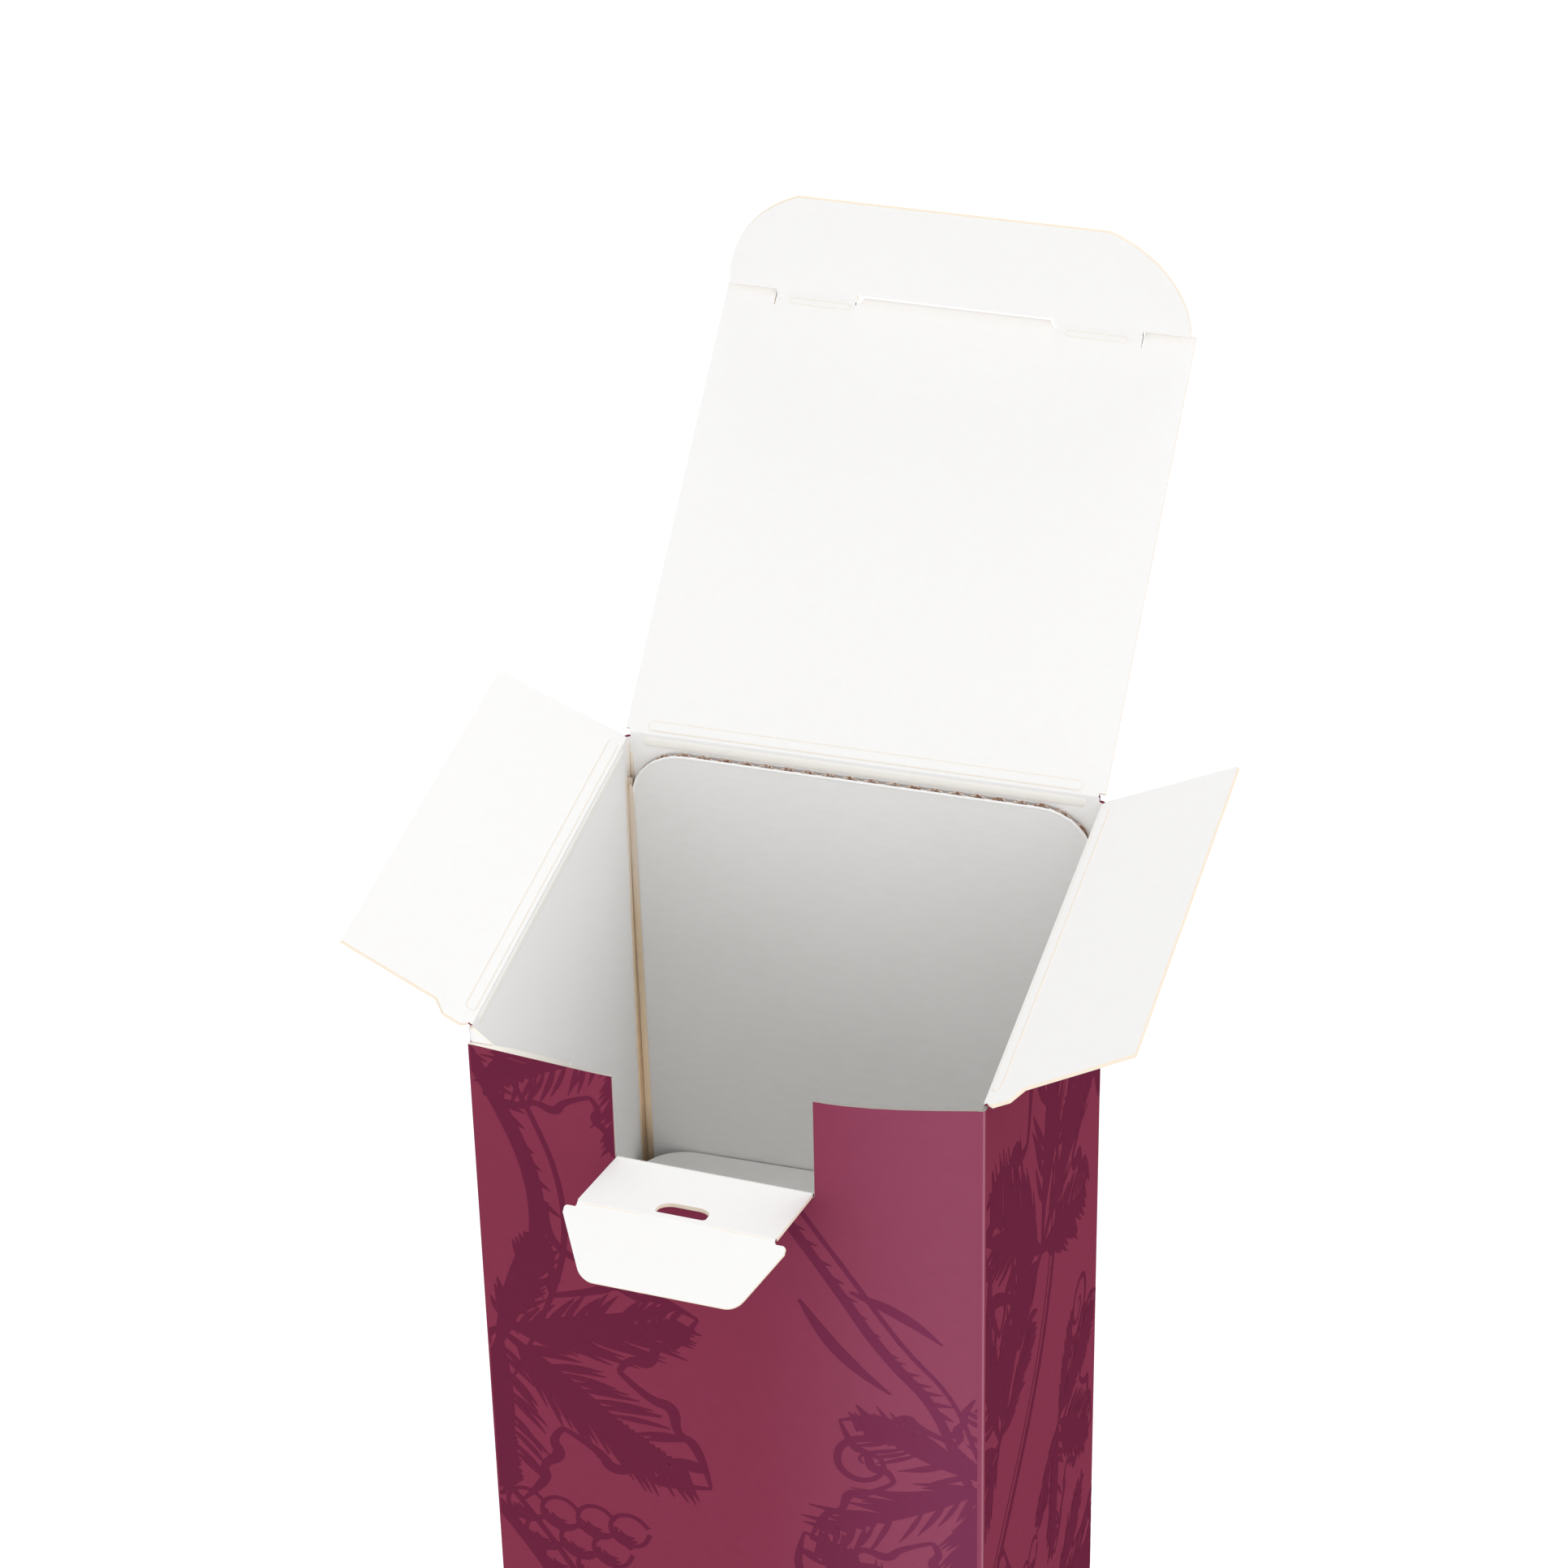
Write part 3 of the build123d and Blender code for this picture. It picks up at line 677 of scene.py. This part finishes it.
# Each rod: its place in from the side wall and from the back wall, its lower and
# upper end, and its radii across and along the box
crease_rods = {
    "outer": (0.04, 1.75, 3.0, 312.9, 0.22, 0.60),
    "middle": (0.34, 1.25, 3.0, 312.6, 0.19, 0.45),
    "inner": (0.66, 1.00, 3.0, 312.4, 0.22, 0.50),
    "corner": (0.08, 0.50, 311.8, 318.9, 0.24, 0.45),
    "back": (0.50, 0.02, 311.4, 316.8, 0.34, 0.20),
}
for side, label in ((-1, "left"), (1, "right")):
    for part, (inset, from_back, low, high, across, along) in crease_rods.items():
        x, y = side * (inner_x - inset * MM), inner_back - from_back * MM
        foot, head = Vector((x, y, low * MM)), Vector((x, y, high * MM))
        name = "crease_" + part + "_" + label
        rounded_rod(name, foot, head, metres(across, along, across), crease_material)
print("rods in each rear corner:", len(crease_rods))

# %% [markdown]
# Beside them the insert's cut side edge is crushed, and its frayed kraft core
# stands a little proud of the white liner, more so towards the collar. The rod
# leans outwards and has long pointed ends, so the edge tapers.

# %% Frayed side edges of the insert
frayed_low, frayed_high = (37.9, 38.45, 230.0), (38.75, 38.45, 309.0)
frayed_radii = metres(0.55, 0.22, 3.0)
# The frayed edges take the crease's colour, with its painted light and shade by height
for side, label in ((-1, "left"), (1, "right")):
    rounded_rod(
        "insert_side_edge_" + label,
        metres(side * frayed_low[0], *frayed_low[1:]),
        metres(side * frayed_high[0], *frayed_high[1:]),
        frayed_radii,
        crease_material,
    )
print("frayed edges", round(frayed_high[2] - frayed_low[2]), "mm long")

# %% [markdown]
# ## Cut edge of the white liner
# The die that cuts the insert's outline rolls the edge of the white front liner a
# little over the wave. That fine round edge catches the light, and is drawn whiter
# than the liner as a painted highlight. A small ring is drawn up one side, spun
# round each corner and drawn along the top between them.

# %% Draw a ring along the insert's outline
# Whiter than the liner itself: a painted highlight on the rolled edge
liner_edge_material = plain_board("liner cut edge with painted highlight", ("FFFFFF", "FCFCFC"))
liner_edge_radius = 0.22 * MM
liner_edge_segments = 8
liner_edge_side = 38.4
liner_edge_turn = 8.9
liner_edge_y = 38.62
turn_height = 309.5
turn_steps = 8
side_run = 3.5


def drawn(shape, edges, way):
    """The ring of edges at the end of a straight run."""
    longer = bmesh.ops.extrude_edge_only(shape, edges=edges)["geom"]
    bmesh.ops.translate(shape, verts=only(BMVert, longer), vec=way)
    return only(BMEdge, longer)


def turned(shape, edges, centre):
    """The ring of edges after a quarter turn round a corner's centre."""
    spun = bmesh.ops.spin(shape, geom=edges, cent=centre, axis=y_axis, angle=pi / 2, steps=turn_steps)
    return only(BMEdge, spun["geom_last"])


shape = bmesh.new()
corner = liner_edge_side - liner_edge_turn
start = metres(-liner_edge_side, liner_edge_y, turn_height - side_run)
circle = bmesh.ops.create_circle(
    shape, segments=liner_edge_segments, radius=liner_edge_radius, matrix=Matrix.Translation(start))
ring = list({edge for spot in circle["verts"] for edge in spot.link_edges})
ring = drawn(shape, ring, metres(0, 0, side_run))
ring = turned(shape, ring, metres(-corner, liner_edge_y, turn_height))
ring = drawn(shape, ring, metres(2 * corner, 0, 0))
ring = turned(shape, ring, metres(corner, liner_edge_y, turn_height))
ring = drawn(shape, ring, metres(0, 0, -side_run))
bmesh.ops.holes_fill(shape, edges=shape.edges, sides=0)
print("liner edge has", len(shape.faces), "faces")
finish_piece("liner_edge", shape, liner_edge_material, "carton", smooth=True)

# %% [markdown]
# ## Rolls below the flaps' folds
# The creasing press leaves a low, wide roll on each wall below its flap's fold. Its
# upper side is lit from above, which takes the hardness out of the fold.

# %% Rolls on the walls
roll_material = plain_board("bleached board pressed roll", ("FCFAF6", "F8F5EF"))
for label, begins, ends, radii in (
    ("left", (-39.4, -36.0, 318.7), (-39.4, 36.5, 318.7), (0.22, 0.8, 0.8)),
    ("right", (39.4, -36.0, 318.7), (39.4, 36.5, 318.7), (0.22, 0.8, 0.8)),
    ("back", (-36.0, 40.2, 319.5), (36.0, 40.2, 319.5), (0.85, 0.22, 0.85)),
):
    rounded_rod("wall_roll_" + label, metres(*begins), metres(*ends), metres(*radii), roll_material)
print("rolls drawn")

# %% [markdown]
# ## Rims of the pressed beads
# Beside each fold the die presses a raised bead into the board. Its rim is where
# the white coating cracks, so the cream core shows there as a thin line. The line
# is a closed curve with a fine round section, half sunk in the panel.

# %% Draw a rim
rim_material = plain_board("bleached board cracked rim", ("FBF5EC", "F8F0E6"))
rim_radius = 0.12 * MM
fine_rim_radius = 0.06 * MM
rim_proud = 0.03 * MM
rim_steps = 10


def bead_rim(name, body, origin, along, away, up, start, width, half_length, radius=rim_radius):
    """A long ring round a bead: start is how far its near side is from the origin."""
    half = width / 2
    middle = origin + away * (start + half) + up * (board / 2 + rim_proud)
    data = bpy.data.curves.new(name, "CURVE")
    data.dimensions = "3D"
    data.bevel_depth = radius
    data.bevel_resolution = 1
    spline = data.splines.new("POLY")
    points = []
    for side in (-1, 1):
        centre = middle + along * side * (half_length - half)
        for step in range(rim_steps + 1):
            angle = pi * step / rim_steps
            points.append(centre + along * side * sin(angle) * half + away * side * cos(angle) * half)
    spline.points.add(len(points) - 1)
    for point, spot in zip(spline.points, points):
        point.co = (*spot, 1)
    spline.use_cyclic_u = True
    mesh = mesh_of_curve(name, data)
    shape = bmesh.new()
    shape.from_mesh(mesh)
    bpy.data.meshes.remove(mesh)
    return finish_piece(name, shape, rim_material, body, smooth=True)


# %% Rims of the lid and the dust flaps
bead_start = 0.47 * MM
bead_width = 1.62 * MM
for name, body, hinge, along, away, node, half_length in (
    ("lid_bead_rim", "lid", lid_hinge, x_axis, lid_away, "lid", 36.0 * MM),
    ("left_bead_rim", "dust_left", left_hinge, y_axis, left_away, "dust_flap_left", 37.0 * MM),
    ("right_bead_rim", "dust_right", right_hinge, y_axis, right_away, "dust_flap_right", 37.0 * MM),
):
    up = flap[node]["inner"]
    bead_rim(name, body, hinge, along, away, up, bead_start, bead_width, half_length)

# %% Rims of the rolls beside the tuck crease
roll_middle = 23.5 * MM
roll_start, roll_width, roll_half_length = 0.45 * MM, 1.0 * MM, 5.2 * MM
roll_size = (roll_start, roll_width, roll_half_length, fine_rim_radius)
lid_up = flap["lid"]["inner"]
for side, label in ((-1, "left"), (1, "right")):
    spot = tuck_hinge + x_axis * side * roll_middle
    bead_rim("lid_roll_rim_" + label, "lid", spot, x_axis, -lid_away, lid_up, *roll_size)
print("rims drawn")

# %% [markdown]
# ## The print
# The walls carry a vine, engraved in a darker burgundy. An engraver draws with
# strokes that swell and taper, and so does this: each stroke is a curve whose
# points have their own radius. The curve's round section is then pressed flat and
# laid on the wall, a few hundredths of a millimetre proud, as thick ink is.

# %% Material of the dark ink
dark_ink = ("6F2842", "6B263F")
# A paler ink: the same painted highlight on the print
painted_light_ink = ("7E3857", "7A3453")
ink_roughness = 0.7


def ink():
    """Dark burgundy ink, matt, with a painted highlight towards the front wall's right edge."""
    material, put, shader = new_material("dark burgundy ink", ink_roughness, board_specular)
    place = put("TexCoord")
    here = place.outputs["Object"]
    spot = put("SeparateXYZ", {0: here}).outputs
    look = put("SeparateXYZ", {0: place.outputs["Normal"]}).outputs
    dark, tooth = paper_fibre(put, here, *dark_ink, coated_tooth)
    # The ink's painted highlight towards the front wall's right edge
    pale, _ = paper_fibre(put, here, *painted_light_ink, coated_tooth)
    painted_light = painted_light_part(put, spot, look)
    colour = put("MixRGB", {"Fac": painted_light, "Color1": dark, "Color2": pale})
    coat(shader, colour, tooth)
    return material


ink_material = ink()

# %% [markdown]
# A drawing is a list of strokes. A stroke is a list of points on the wall, in
# millimetres, each with half the stroke's width there.


# %% Strokes
class Drawing:
    """Strokes on one wall, with a seeded hand."""

    def __init__(self, seed, turn=1, rise=0):
        self.strokes = []
        self.turn = turn
        self.rise = rise
        self.hand = random.Random(seed)

    def stroke(self, points, widths):
        """A smooth line through the points that swells and tapers as the widths say."""
        self.strokes.append([(x, y, w / 2) for (x, y), w in zip(points, widths)])

    def shake(self, most):
        """A random amount, more or less than nothing."""
        return self.hand.uniform(-most, most)


def polar(x, y, angle, length):
    """The point at an angle in degrees and a length from another."""
    return (x + length * cos(radians(angle)), y + length * sin(radians(angle)))


# %% A tapered, bent line
swelling = (0.25, 0.9, 1.0, 0.7, 0.12)
from_root = (1.0, 0.95, 0.75, 0.45, 0.08)
bent_steps = 4


def bent_line(drawing, x, y, angle, length, bend, width, swell=swelling):
    """A stroke that starts at a point, bends by some degrees and ends in a fine tip."""
    points = [(x, y)]
    for step in range(bent_steps):
        heading = angle + bend * (step + 0.5) / bent_steps
        points.append(polar(*points[-1], heading, length / bent_steps))
    drawing.stroke(points, [width * s for s in swell])
    return points


# %% A vine leaf
# Lobes and teeth: turns in degrees, with shares of the leaf's or the lobe's length
lobes = ((-104, 0.56), (-52, 0.84), (0, 1.0), (52, 0.84), (104, 0.56))
teeth = ((0, 1.0), (10, 0.86), (9, 0.77), (19, 0.72), (17, 0.62))
tooth_widths = (0.2, 0.9, 0.5, 1.0, 0.6, 0.4)
sinus_share = 0.58
rib_share, rib_width, rib_bend = 0.93, 0.07, 8
outline_width = 0.055
# Hatching: closest spacing, spacing as a share of the leaf, and where it starts
# and how far it goes on a rib; then each line's reach, lean and widest width
closest_hatch, hatch_spacing = 1.75, 0.042
hatch_start, hatch_run = 0.10, 0.80
hatch_reach, hatch_lean, hatch_bend = 0.36, -44, 18
hatch_width, widest_hatch = 0.05, 1.75
hatch_shake, lean_shake, hatch_lengths = 0.015, 6, (0.75, 1.15)
first_hatch, hatch_fullness = 0.16, 0.8
cross_share, cross_reach, cross_lean, cross_bend, cross_width = 0.5, 0.7, 46, -14, 0.026
cross_shake = 7


def leaf(drawing, x, y, angle, size, shade):
    """A vine leaf: lobes with toothed outlines, ribs, and deep hatching on their shaded side."""
    hand = drawing.hand
    tips = []
    for turn, share in lobes:
        tips.append((angle + turn, share * size))
        bend = rib_bend if turn > 0 else -rib_bend
        bent_line(drawing, x, y, angle + turn, share * size * rib_share, bend, size * rib_width)
    for (a, la), (b, lb) in zip(tips, tips[1:]):
        sinus = polar(x, y, (a + b) / 2, min(la, lb) * sinus_share)
        for start, far in ((a, la), (b, lb)):
            side = 1 if (a + b) / 2 > start else -1
            edge = [polar(x, y, start + side * turn, far * share) for turn, share in teeth]
            drawing.stroke([*edge, sinus], [size * outline_width * s for s in tooth_widths])
    for turn, share in lobes:
        rib = share * size
        count = max(4, int(shade * rib / max(closest_hatch, size * hatch_spacing)))
        for number in range(count):
            along = hatch_start + hatch_run * number / count + drawing.shake(hatch_shake)
            root = polar(x, y, angle + turn, rib * along)
            swell = sin(pi * (first_hatch + (1 - first_hatch) * along))
            reach = rib * hatch_reach * swell**hatch_fullness
            lean = angle + turn + hatch_lean + drawing.shake(lean_shake)
            length = reach * hand.uniform(*hatch_lengths)
            width = min(size * hatch_width, widest_hatch)
            bent_line(drawing, *root, lean, length, hatch_bend, width, from_root)
            if hand.random() < cross_share:
                lean = angle + turn + cross_lean + drawing.shake(cross_shake)
                bent_line(drawing, *root, lean, reach * cross_reach, cross_bend, size * cross_width)


# %% A stem, a tendril and grapes
# Stem: the light line's gap and share, how the width varies, and its tip
light_gap, light_share, stem_swell, stem_tip = 1.9, 0.4, (0.8, 1.25), 0.3
# Bark: lines between two points, where they start, length, width, lean and bend
bark_lines, bark_starts, bark_lengths = 5, (0.2, 0.8), (1.2, 2.0)
bark_width, bark_lean, bark_bend = 0.5, 34, 12
# Tendril: steps of a winding, its fall, its heart, and its width at root and tip
winding_steps, winding_fall, winding_heart = 8, 0.8, 0.06
tendril_root, tendril_tip = 1.1, 0.35
# Grapes: how far apart, the ring's line, gap and points, and the shade's arcs
grape_apart, grape_drop, grape_shake = 1.75, 1.5, 0.3
grape_line, ring_gap, ring_steps = 0.75, 20, 10
crescents = ((0.72, 1.1), (0.48, 0.7))
crescent_start, crescent_step, crescent_tip, crescent_crown = 190, 28, 0.2, 1.1


def stem(drawing, points, width):
    """A woody stem: a heavy line and a light one that run together, with hatching between."""
    hand = drawing.hand
    for offset, share in ((0.0, 1.0), (width * light_gap, light_share)):
        shifted = []
        for i, (x, y) in enumerate(points):
            x2, y2 = points[min(i + 1, len(points) - 1)]
            x1, y1 = points[max(i - 1, 0)]
            length = sqrt((x2 - x1) ** 2 + (y2 - y1) ** 2)
            shifted.append((x - (y2 - y1) / length * offset, y + (x2 - x1) / length * offset))
        widths = [width * share * hand.uniform(*stem_swell) for _ in points]
        widths[-1] = width * share * stem_tip
        drawing.stroke(shifted, widths)
    for (x1, y1), (x2, y2) in zip(points, points[1:]):
        heading = atan2(y2 - y1, x2 - x1) * 180 / pi
        for step in range(bark_lines):
            share = (step + hand.uniform(*bark_starts)) / bark_lines
            spot = (x1 + (x2 - x1) * share, y1 + (y2 - y1) * share)
            length = width * hand.uniform(*bark_lengths)
            lean = heading + bark_lean
            bent_line(drawing, *spot, lean, length, bark_bend, width * bark_width, from_root)


def tendril(drawing, x, y, angle, size, turns):
    """A tendril that winds up on itself."""
    points, widths = [], []
    steps = int(winding_steps * turns)
    for step in range(steps + 1):
        share = step / steps
        radius = size * (1 - share) ** winding_fall + size * winding_heart
        points.append(polar(x, y, angle + 360 * turns * share, radius))
        widths.append(tendril_root * (1 - share) + tendril_tip)
    drawing.stroke(points, widths)


def grapes(drawing, x, y, size, rows):
    """A hanging bunch: rows of grapes, each a ring with a crescent of shade."""
    for row in range(rows):
        count = rows - row
        for number in range(count):
            column = number - (count - 1) / 2
            cx = x + column * size * grape_apart + drawing.shake(grape_shake)
            cy = y - row * size * grape_drop + drawing.shake(grape_shake)
            angles = [ring_gap + (360 - ring_gap) * i / ring_steps for i in range(ring_steps + 1)]
            drawing.stroke([polar(cx, cy, a, size) for a in angles], [grape_line] * len(angles))
            for share, width in crescents:
                arc = [polar(cx, cy, crescent_start + crescent_step * i, size * share) for i in range(5)]
                crown = width * crescent_crown
                drawing.stroke(arc, [crescent_tip, width, crown, width, crescent_tip])


# %% [markdown]
# Now the composition. Each wall has a stem that wanders up it, with leaves,
# tendrils and bunches set along it. Distances are from the wall's middle and from
# the floor.

# %% Draw the front wall
front = Drawing(11)
stem(front, [(-46, 326), (-34, 306), (-29, 288), (-33, 270), (-42, 250)], 2.4)
leaf(front, -13, 325, 214, 30, 1.3)
leaf(front, -38, 262, -34, 42, 1.4)
tendril(front, -22, 286, 150, 7.5, 1.6)
stem(front, [(6, 302), (16, 288), (25, 272), (33, 262), (37, 246), (44, 232)], 1.7)
leaf(front, 42, 246, 205, 32, 1.1)
tendril(front, 22, 250, 60, 5.5, 1.4)
bent_line(front, 20, 284, -20, 17, -30, 1.8)
bent_line(front, 12, 281, -62, 22, 24, 2.2)
stem(front, [(-46, 232), (-32, 216), (-21, 192), (-26, 162), (-42, 140)], 2.3)
grapes(front, -26, 226, 3.4, 4)
leaf(front, -21, 184, 24, 36, 1.3)
leaf(front, 29, 204, 120, 34, 1.1)
tendril(front, 4, 172, 20, 7, 1.7)
stem(front, [(46, 192), (34, 168), (22, 150), (20, 120), (30, 90), (46, 68)], 2.1)
grapes(front, 25, 148, 3.4, 5)
leaf(front, 24, 104, 190, 40, 1.3)
leaf(front, -38, 122, -20, 36, 1.3)
tendril(front, -6, 78, 200, 7, 1.6)
stem(front, [(-46, 94), (-30, 76), (-26, 50), (-34, 20), (-46, 4)], 2.3)
leaf(front, -25, 58, -30, 40, 1.3)
leaf(front, 36, 64, 230, 36, 1.3)
grapes(front, 22, 34, 3.2, 4)
tendril(front, -16, 14, 40, 6, 1.5)
print("front wall:", len(front.strokes), "strokes")


# %% Draw the side and back walls
def side_drawing(seed, turn, rise=0):
    """A denser wall: big leaves one above the other, mirrored where turn is minus one."""
    drawing = Drawing(seed, turn, rise)
    stem(drawing, [(-44, 214), (-20, 226), (0, 240), (10, 262), (6, 290), (14, 322)], 1.7)
    leaf(drawing, -2, 262, 84, 66, 1.7)
    leaf(drawing, 34, 272, 66, 46, 1.6)
    leaf(drawing, -30, 246, 118, 46, 1.6)
    tendril(drawing, 26, 228, 200, 7, 1.7)
    leaf(drawing, 12, 214, -40, 34, 1.6)
    stem(drawing, [(44, 176), (24, 168), (6, 176), (-14, 196), (-28, 222)], 1.7)
    grapes(drawing, -18, 200, 3.4, 5)
    leaf(drawing, 10, 172, -70, 46, 1.6)
    leaf(drawing, -28, 158, 200, 30, 1.4)
    tendril(drawing, -14, 132, 80, 8, 1.7)
    stem(drawing, [(-44, 92), (-22, 104), (0, 98), (20, 110), (44, 128)], 1.7)
    grapes(drawing, 24, 104, 3.3, 5)
    leaf(drawing, -8, 98, 240, 44, 1.6)
    leaf(drawing, 14, 52, -20, 32, 1.4)
    tendril(drawing, -24, 40, 10, 7, 1.6)
    leaf(drawing, -30, 22, 30, 32, 1.4)
    if rise:
        grapes(drawing, 6, 14, 3.2, 5)
        leaf(drawing, 26, 2, 160, 34, 1.4)
        stem(drawing, [(44, -22), (24, -10), (0, -14), (-20, -4), (-44, -12)], 1.7)
    return drawing


walls = {
    "front": front,
    "right": side_drawing(23, 1),
    "left": side_drawing(31, -1),
    "back": side_drawing(47, 1, 30),
}
print("strokes:", {wall: len(drawing.strokes) for wall, drawing in walls.items()})

# %% [markdown]
# To press a drawing onto its wall, the curves become one flat mesh, which is cut
# at the wall's edges and round the notch with bisect_plane. Then each point looks
# for the wall straight ahead of it and stops just short of it.

# %% Turn strokes into a flat mesh
hatch_length, hatch_points = 14, 7
line_length, line_points = 30, 6
short_steps, line_steps, long_steps = 2, 5, 8
lift_shake = 0.6


def stroke_mesh(name, drawing):
    """The strokes as one mesh in millimetres, round in section."""
    data = bpy.data.curves.new(name, "CURVE")
    data.dimensions = "3D"
    data.twist_mode = "Z_UP"
    data.bevel_depth = 1.0
    data.bevel_resolution = 0
    data.use_fill_caps = True
    for points in drawing.strokes:
        lift = drawing.shake(lift_shake)
        spline = data.splines.new("NURBS")
        spline.points.add(len(points) - 1)
        for point, (x, y, radius) in zip(spline.points, points):
            point.co = (drawing.turn * x, y + drawing.rise, lift, 1)
            point.radius = radius
        spline.order_u = 3
        spline.use_endpoint_u = True
        (x1, y1, _), (x2, y2, _) = points[0], points[-1]
        reach = abs(x2 - x1) + abs(y2 - y1)
        if reach < hatch_length and len(points) < hatch_points:
            spline.resolution_u = short_steps
        elif reach < line_length and len(points) < line_points:
            spline.resolution_u = line_steps
        else:
            spline.resolution_u = long_steps
    return mesh_of_curve(name, data)


# %% Cut the mesh to the wall's outline
# Each zone: its left and right end, its foot and its top, in mm
wall_low = 1.2
front_left, front_right = -39.6, 38.9
notch_left, notch_right, notch_foot = -16.75, 14.95, 301.05
side_zone = (-39.9, 39.9, wall_low, 319.4)
zones = {
    "front": (
        (front_left, notch_left, notch_foot, 317.05),
        (notch_right, front_right, notch_foot, 319.35),
        (front_left, front_right, wall_low, notch_foot),
    ),
    "right": (side_zone,),
    "left": (side_zone,),
    "back": ((-39.1, 38.8, wall_low, 320.0),),
}
cut_distance = 0.0001


def cut_to(mesh, zone):
    """A copy of the mesh as a bmesh, cut to a field and closed again."""
    left_x, right_x, low, high = zone
    shape = bmesh.new()
    shape.from_mesh(mesh)
    bmesh.ops.remove_doubles(shape, verts=shape.verts, dist=cut_distance)
    for point, direction in (
        ((left_x, 0, 0), (-1, 0, 0)),
        ((right_x, 0, 0), (1, 0, 0)),
        ((0, low, 0), (0, -1, 0)),
        ((0, high, 0), (0, 1, 0)),
    ):
        cut = bmesh.ops.bisect_plane(
            shape,
            geom=[*shape.verts, *shape.edges, *shape.faces],
            dist=cut_distance,
            plane_co=point,
            plane_no=direction,
            clear_outer=True,
        )
        bmesh.ops.holes_fill(shape, edges=only(BMEdge, cut["geom_cut"]), sides=0)
    return shape


# %% Lay the drawing on the wall
ink_proud = 0.035 * MM
ink_swell = 0.010 * MM
most_swell = 1.6
outlook = 60
looking = {
    "front": (lambda u, v: metres(u, -outlook, v), y_axis),
    "right": (lambda u, v: metres(outlook, u, v), -x_axis),
    "left": (lambda u, v: metres(-outlook, u, v), x_axis),
    "back": (lambda u, v: metres(u, outlook, v), -y_axis),
}


def lay_on_wall(wall, drawing):
    """The drawing as a thin layer of ink on a wall."""
    name = "print_" + wall
    start, ahead = looking[wall]
    mesh = stroke_mesh(name, drawing)
    layer = bmesh.new()
    for zone in zones[wall]:
        shape = cut_to(mesh, zone)
        kept = bpy.data.meshes.new("field")
        shape.to_mesh(kept)
        shape.free()
        layer.from_mesh(kept)
        bpy.data.meshes.remove(kept)
    missed = []
    for vert in layer.verts:
        u, v, rise = vert.co
        hit, spot, _, _ = carton.ray_cast(start(u, v), ahead)
        if not hit:
            missed.append(vert)
            continue
        swell = ink_swell * max(-most_swell, min(most_swell, rise))
        vert.co = spot - ahead * (ink_proud + swell)
    bmesh.ops.delete(layer, geom=missed, context="VERTS")
    bpy.data.meshes.remove(mesh)
    piece = finish_piece(name, layer, ink_material, "carton")
    print(name, "has", len(piece.data.polygons), "faces,", len(missed), "points off the wall")


bpy.context.view_layer.update()
for wall, drawing in walls.items():
    lay_on_wall(wall, drawing)

# %% [markdown]
# ## Floor, sky and lamps
# The background is white to the camera only. The light that falls on the box is
# an even sky with three wide soft lamps, as in a light tent: a low one in front, one
# on the right that reaches the inside of the left wall, and one behind the lid.

# %% Floor
floor_size = 4.0
floor_z = -0.2 * MM
floor_roughness = 0.9
floor_glow = 0.35
white_light = (1, 1, 1, 1)
shape = bmesh.new()
bmesh.ops.create_grid(shape, x_segments=1, y_segments=1, size=floor_size)
floor_mesh = bpy.data.meshes.new("floor")
shape.to_mesh(floor_mesh)
shape.free()
floor = new_object("floor", floor_mesh)
floor.location.z = floor_z
floor_material, put, paper = new_material("white studio paper", floor_roughness, 0.0)
paper.inputs["Base Color"].default_value = linear("F2F2F2")
paper.inputs["Emission Color"].default_value = white_light
path = put("LightPath").outputs
seen = put("Math.MAXIMUM", {0: path["Is Camera Ray"], 1: path["Is Glossy Ray"]})
glow = put("Math.MULTIPLY", {0: seen, 1: floor_glow})
paper.id_data.links.new(glow.outputs[0], paper.inputs["Emission Strength"])
floor_mesh.materials.append(floor_material)
print("floor", 2 * floor_size, "m wide")

# %% Sky
sky_light = 0.815
world = bpy.data.worlds.new("light tent")
world.use_nodes = True
bpy.context.scene.world = world
world.node_tree.nodes.clear()
put = partial(add, world.node_tree)
path = put("LightPath").outputs
seen = put("Math.MAXIMUM", {0: path["Is Camera Ray"], 1: path["Is Transmission Ray"]})
lit = put("Background", {"Color": white_light, "Strength": sky_light})
white = put("Background", {"Color": white_light, "Strength": 1.0})
mixed = put("MixShader", {0: seen, 1: lit, 2: white})
put("OutputWorld", {"Surface": mixed})
print("sky strength", sky_light)

# %% Lamps
# Name, place and size in metres, power in watts; each looks at the box's mouth
for name, place, size, power in (
    ("right_lamp", (1.2, -0.25, 1.15), 0.9, 2.6),
    ("back_lamp", (0.1, 1.1, 1.5), 1.0, 4.0),
    ("front_low_lamp", (-0.1, -1.7, 0.6), 0.9, 4.6),
):
    data = bpy.data.lights.new(name, "AREA")
    data.size = size
    data.energy = power
    lamp = new_object(name, data)
    lamp.location = place
    sight = Vector((0, 0, fold_height)) - Vector(place)
    lamp.rotation_euler = sight.to_track_quat("-Z", "Y").to_euler()
    print(name, power, "W")
bpy.context.scene.view_settings.view_transform = "Standard"
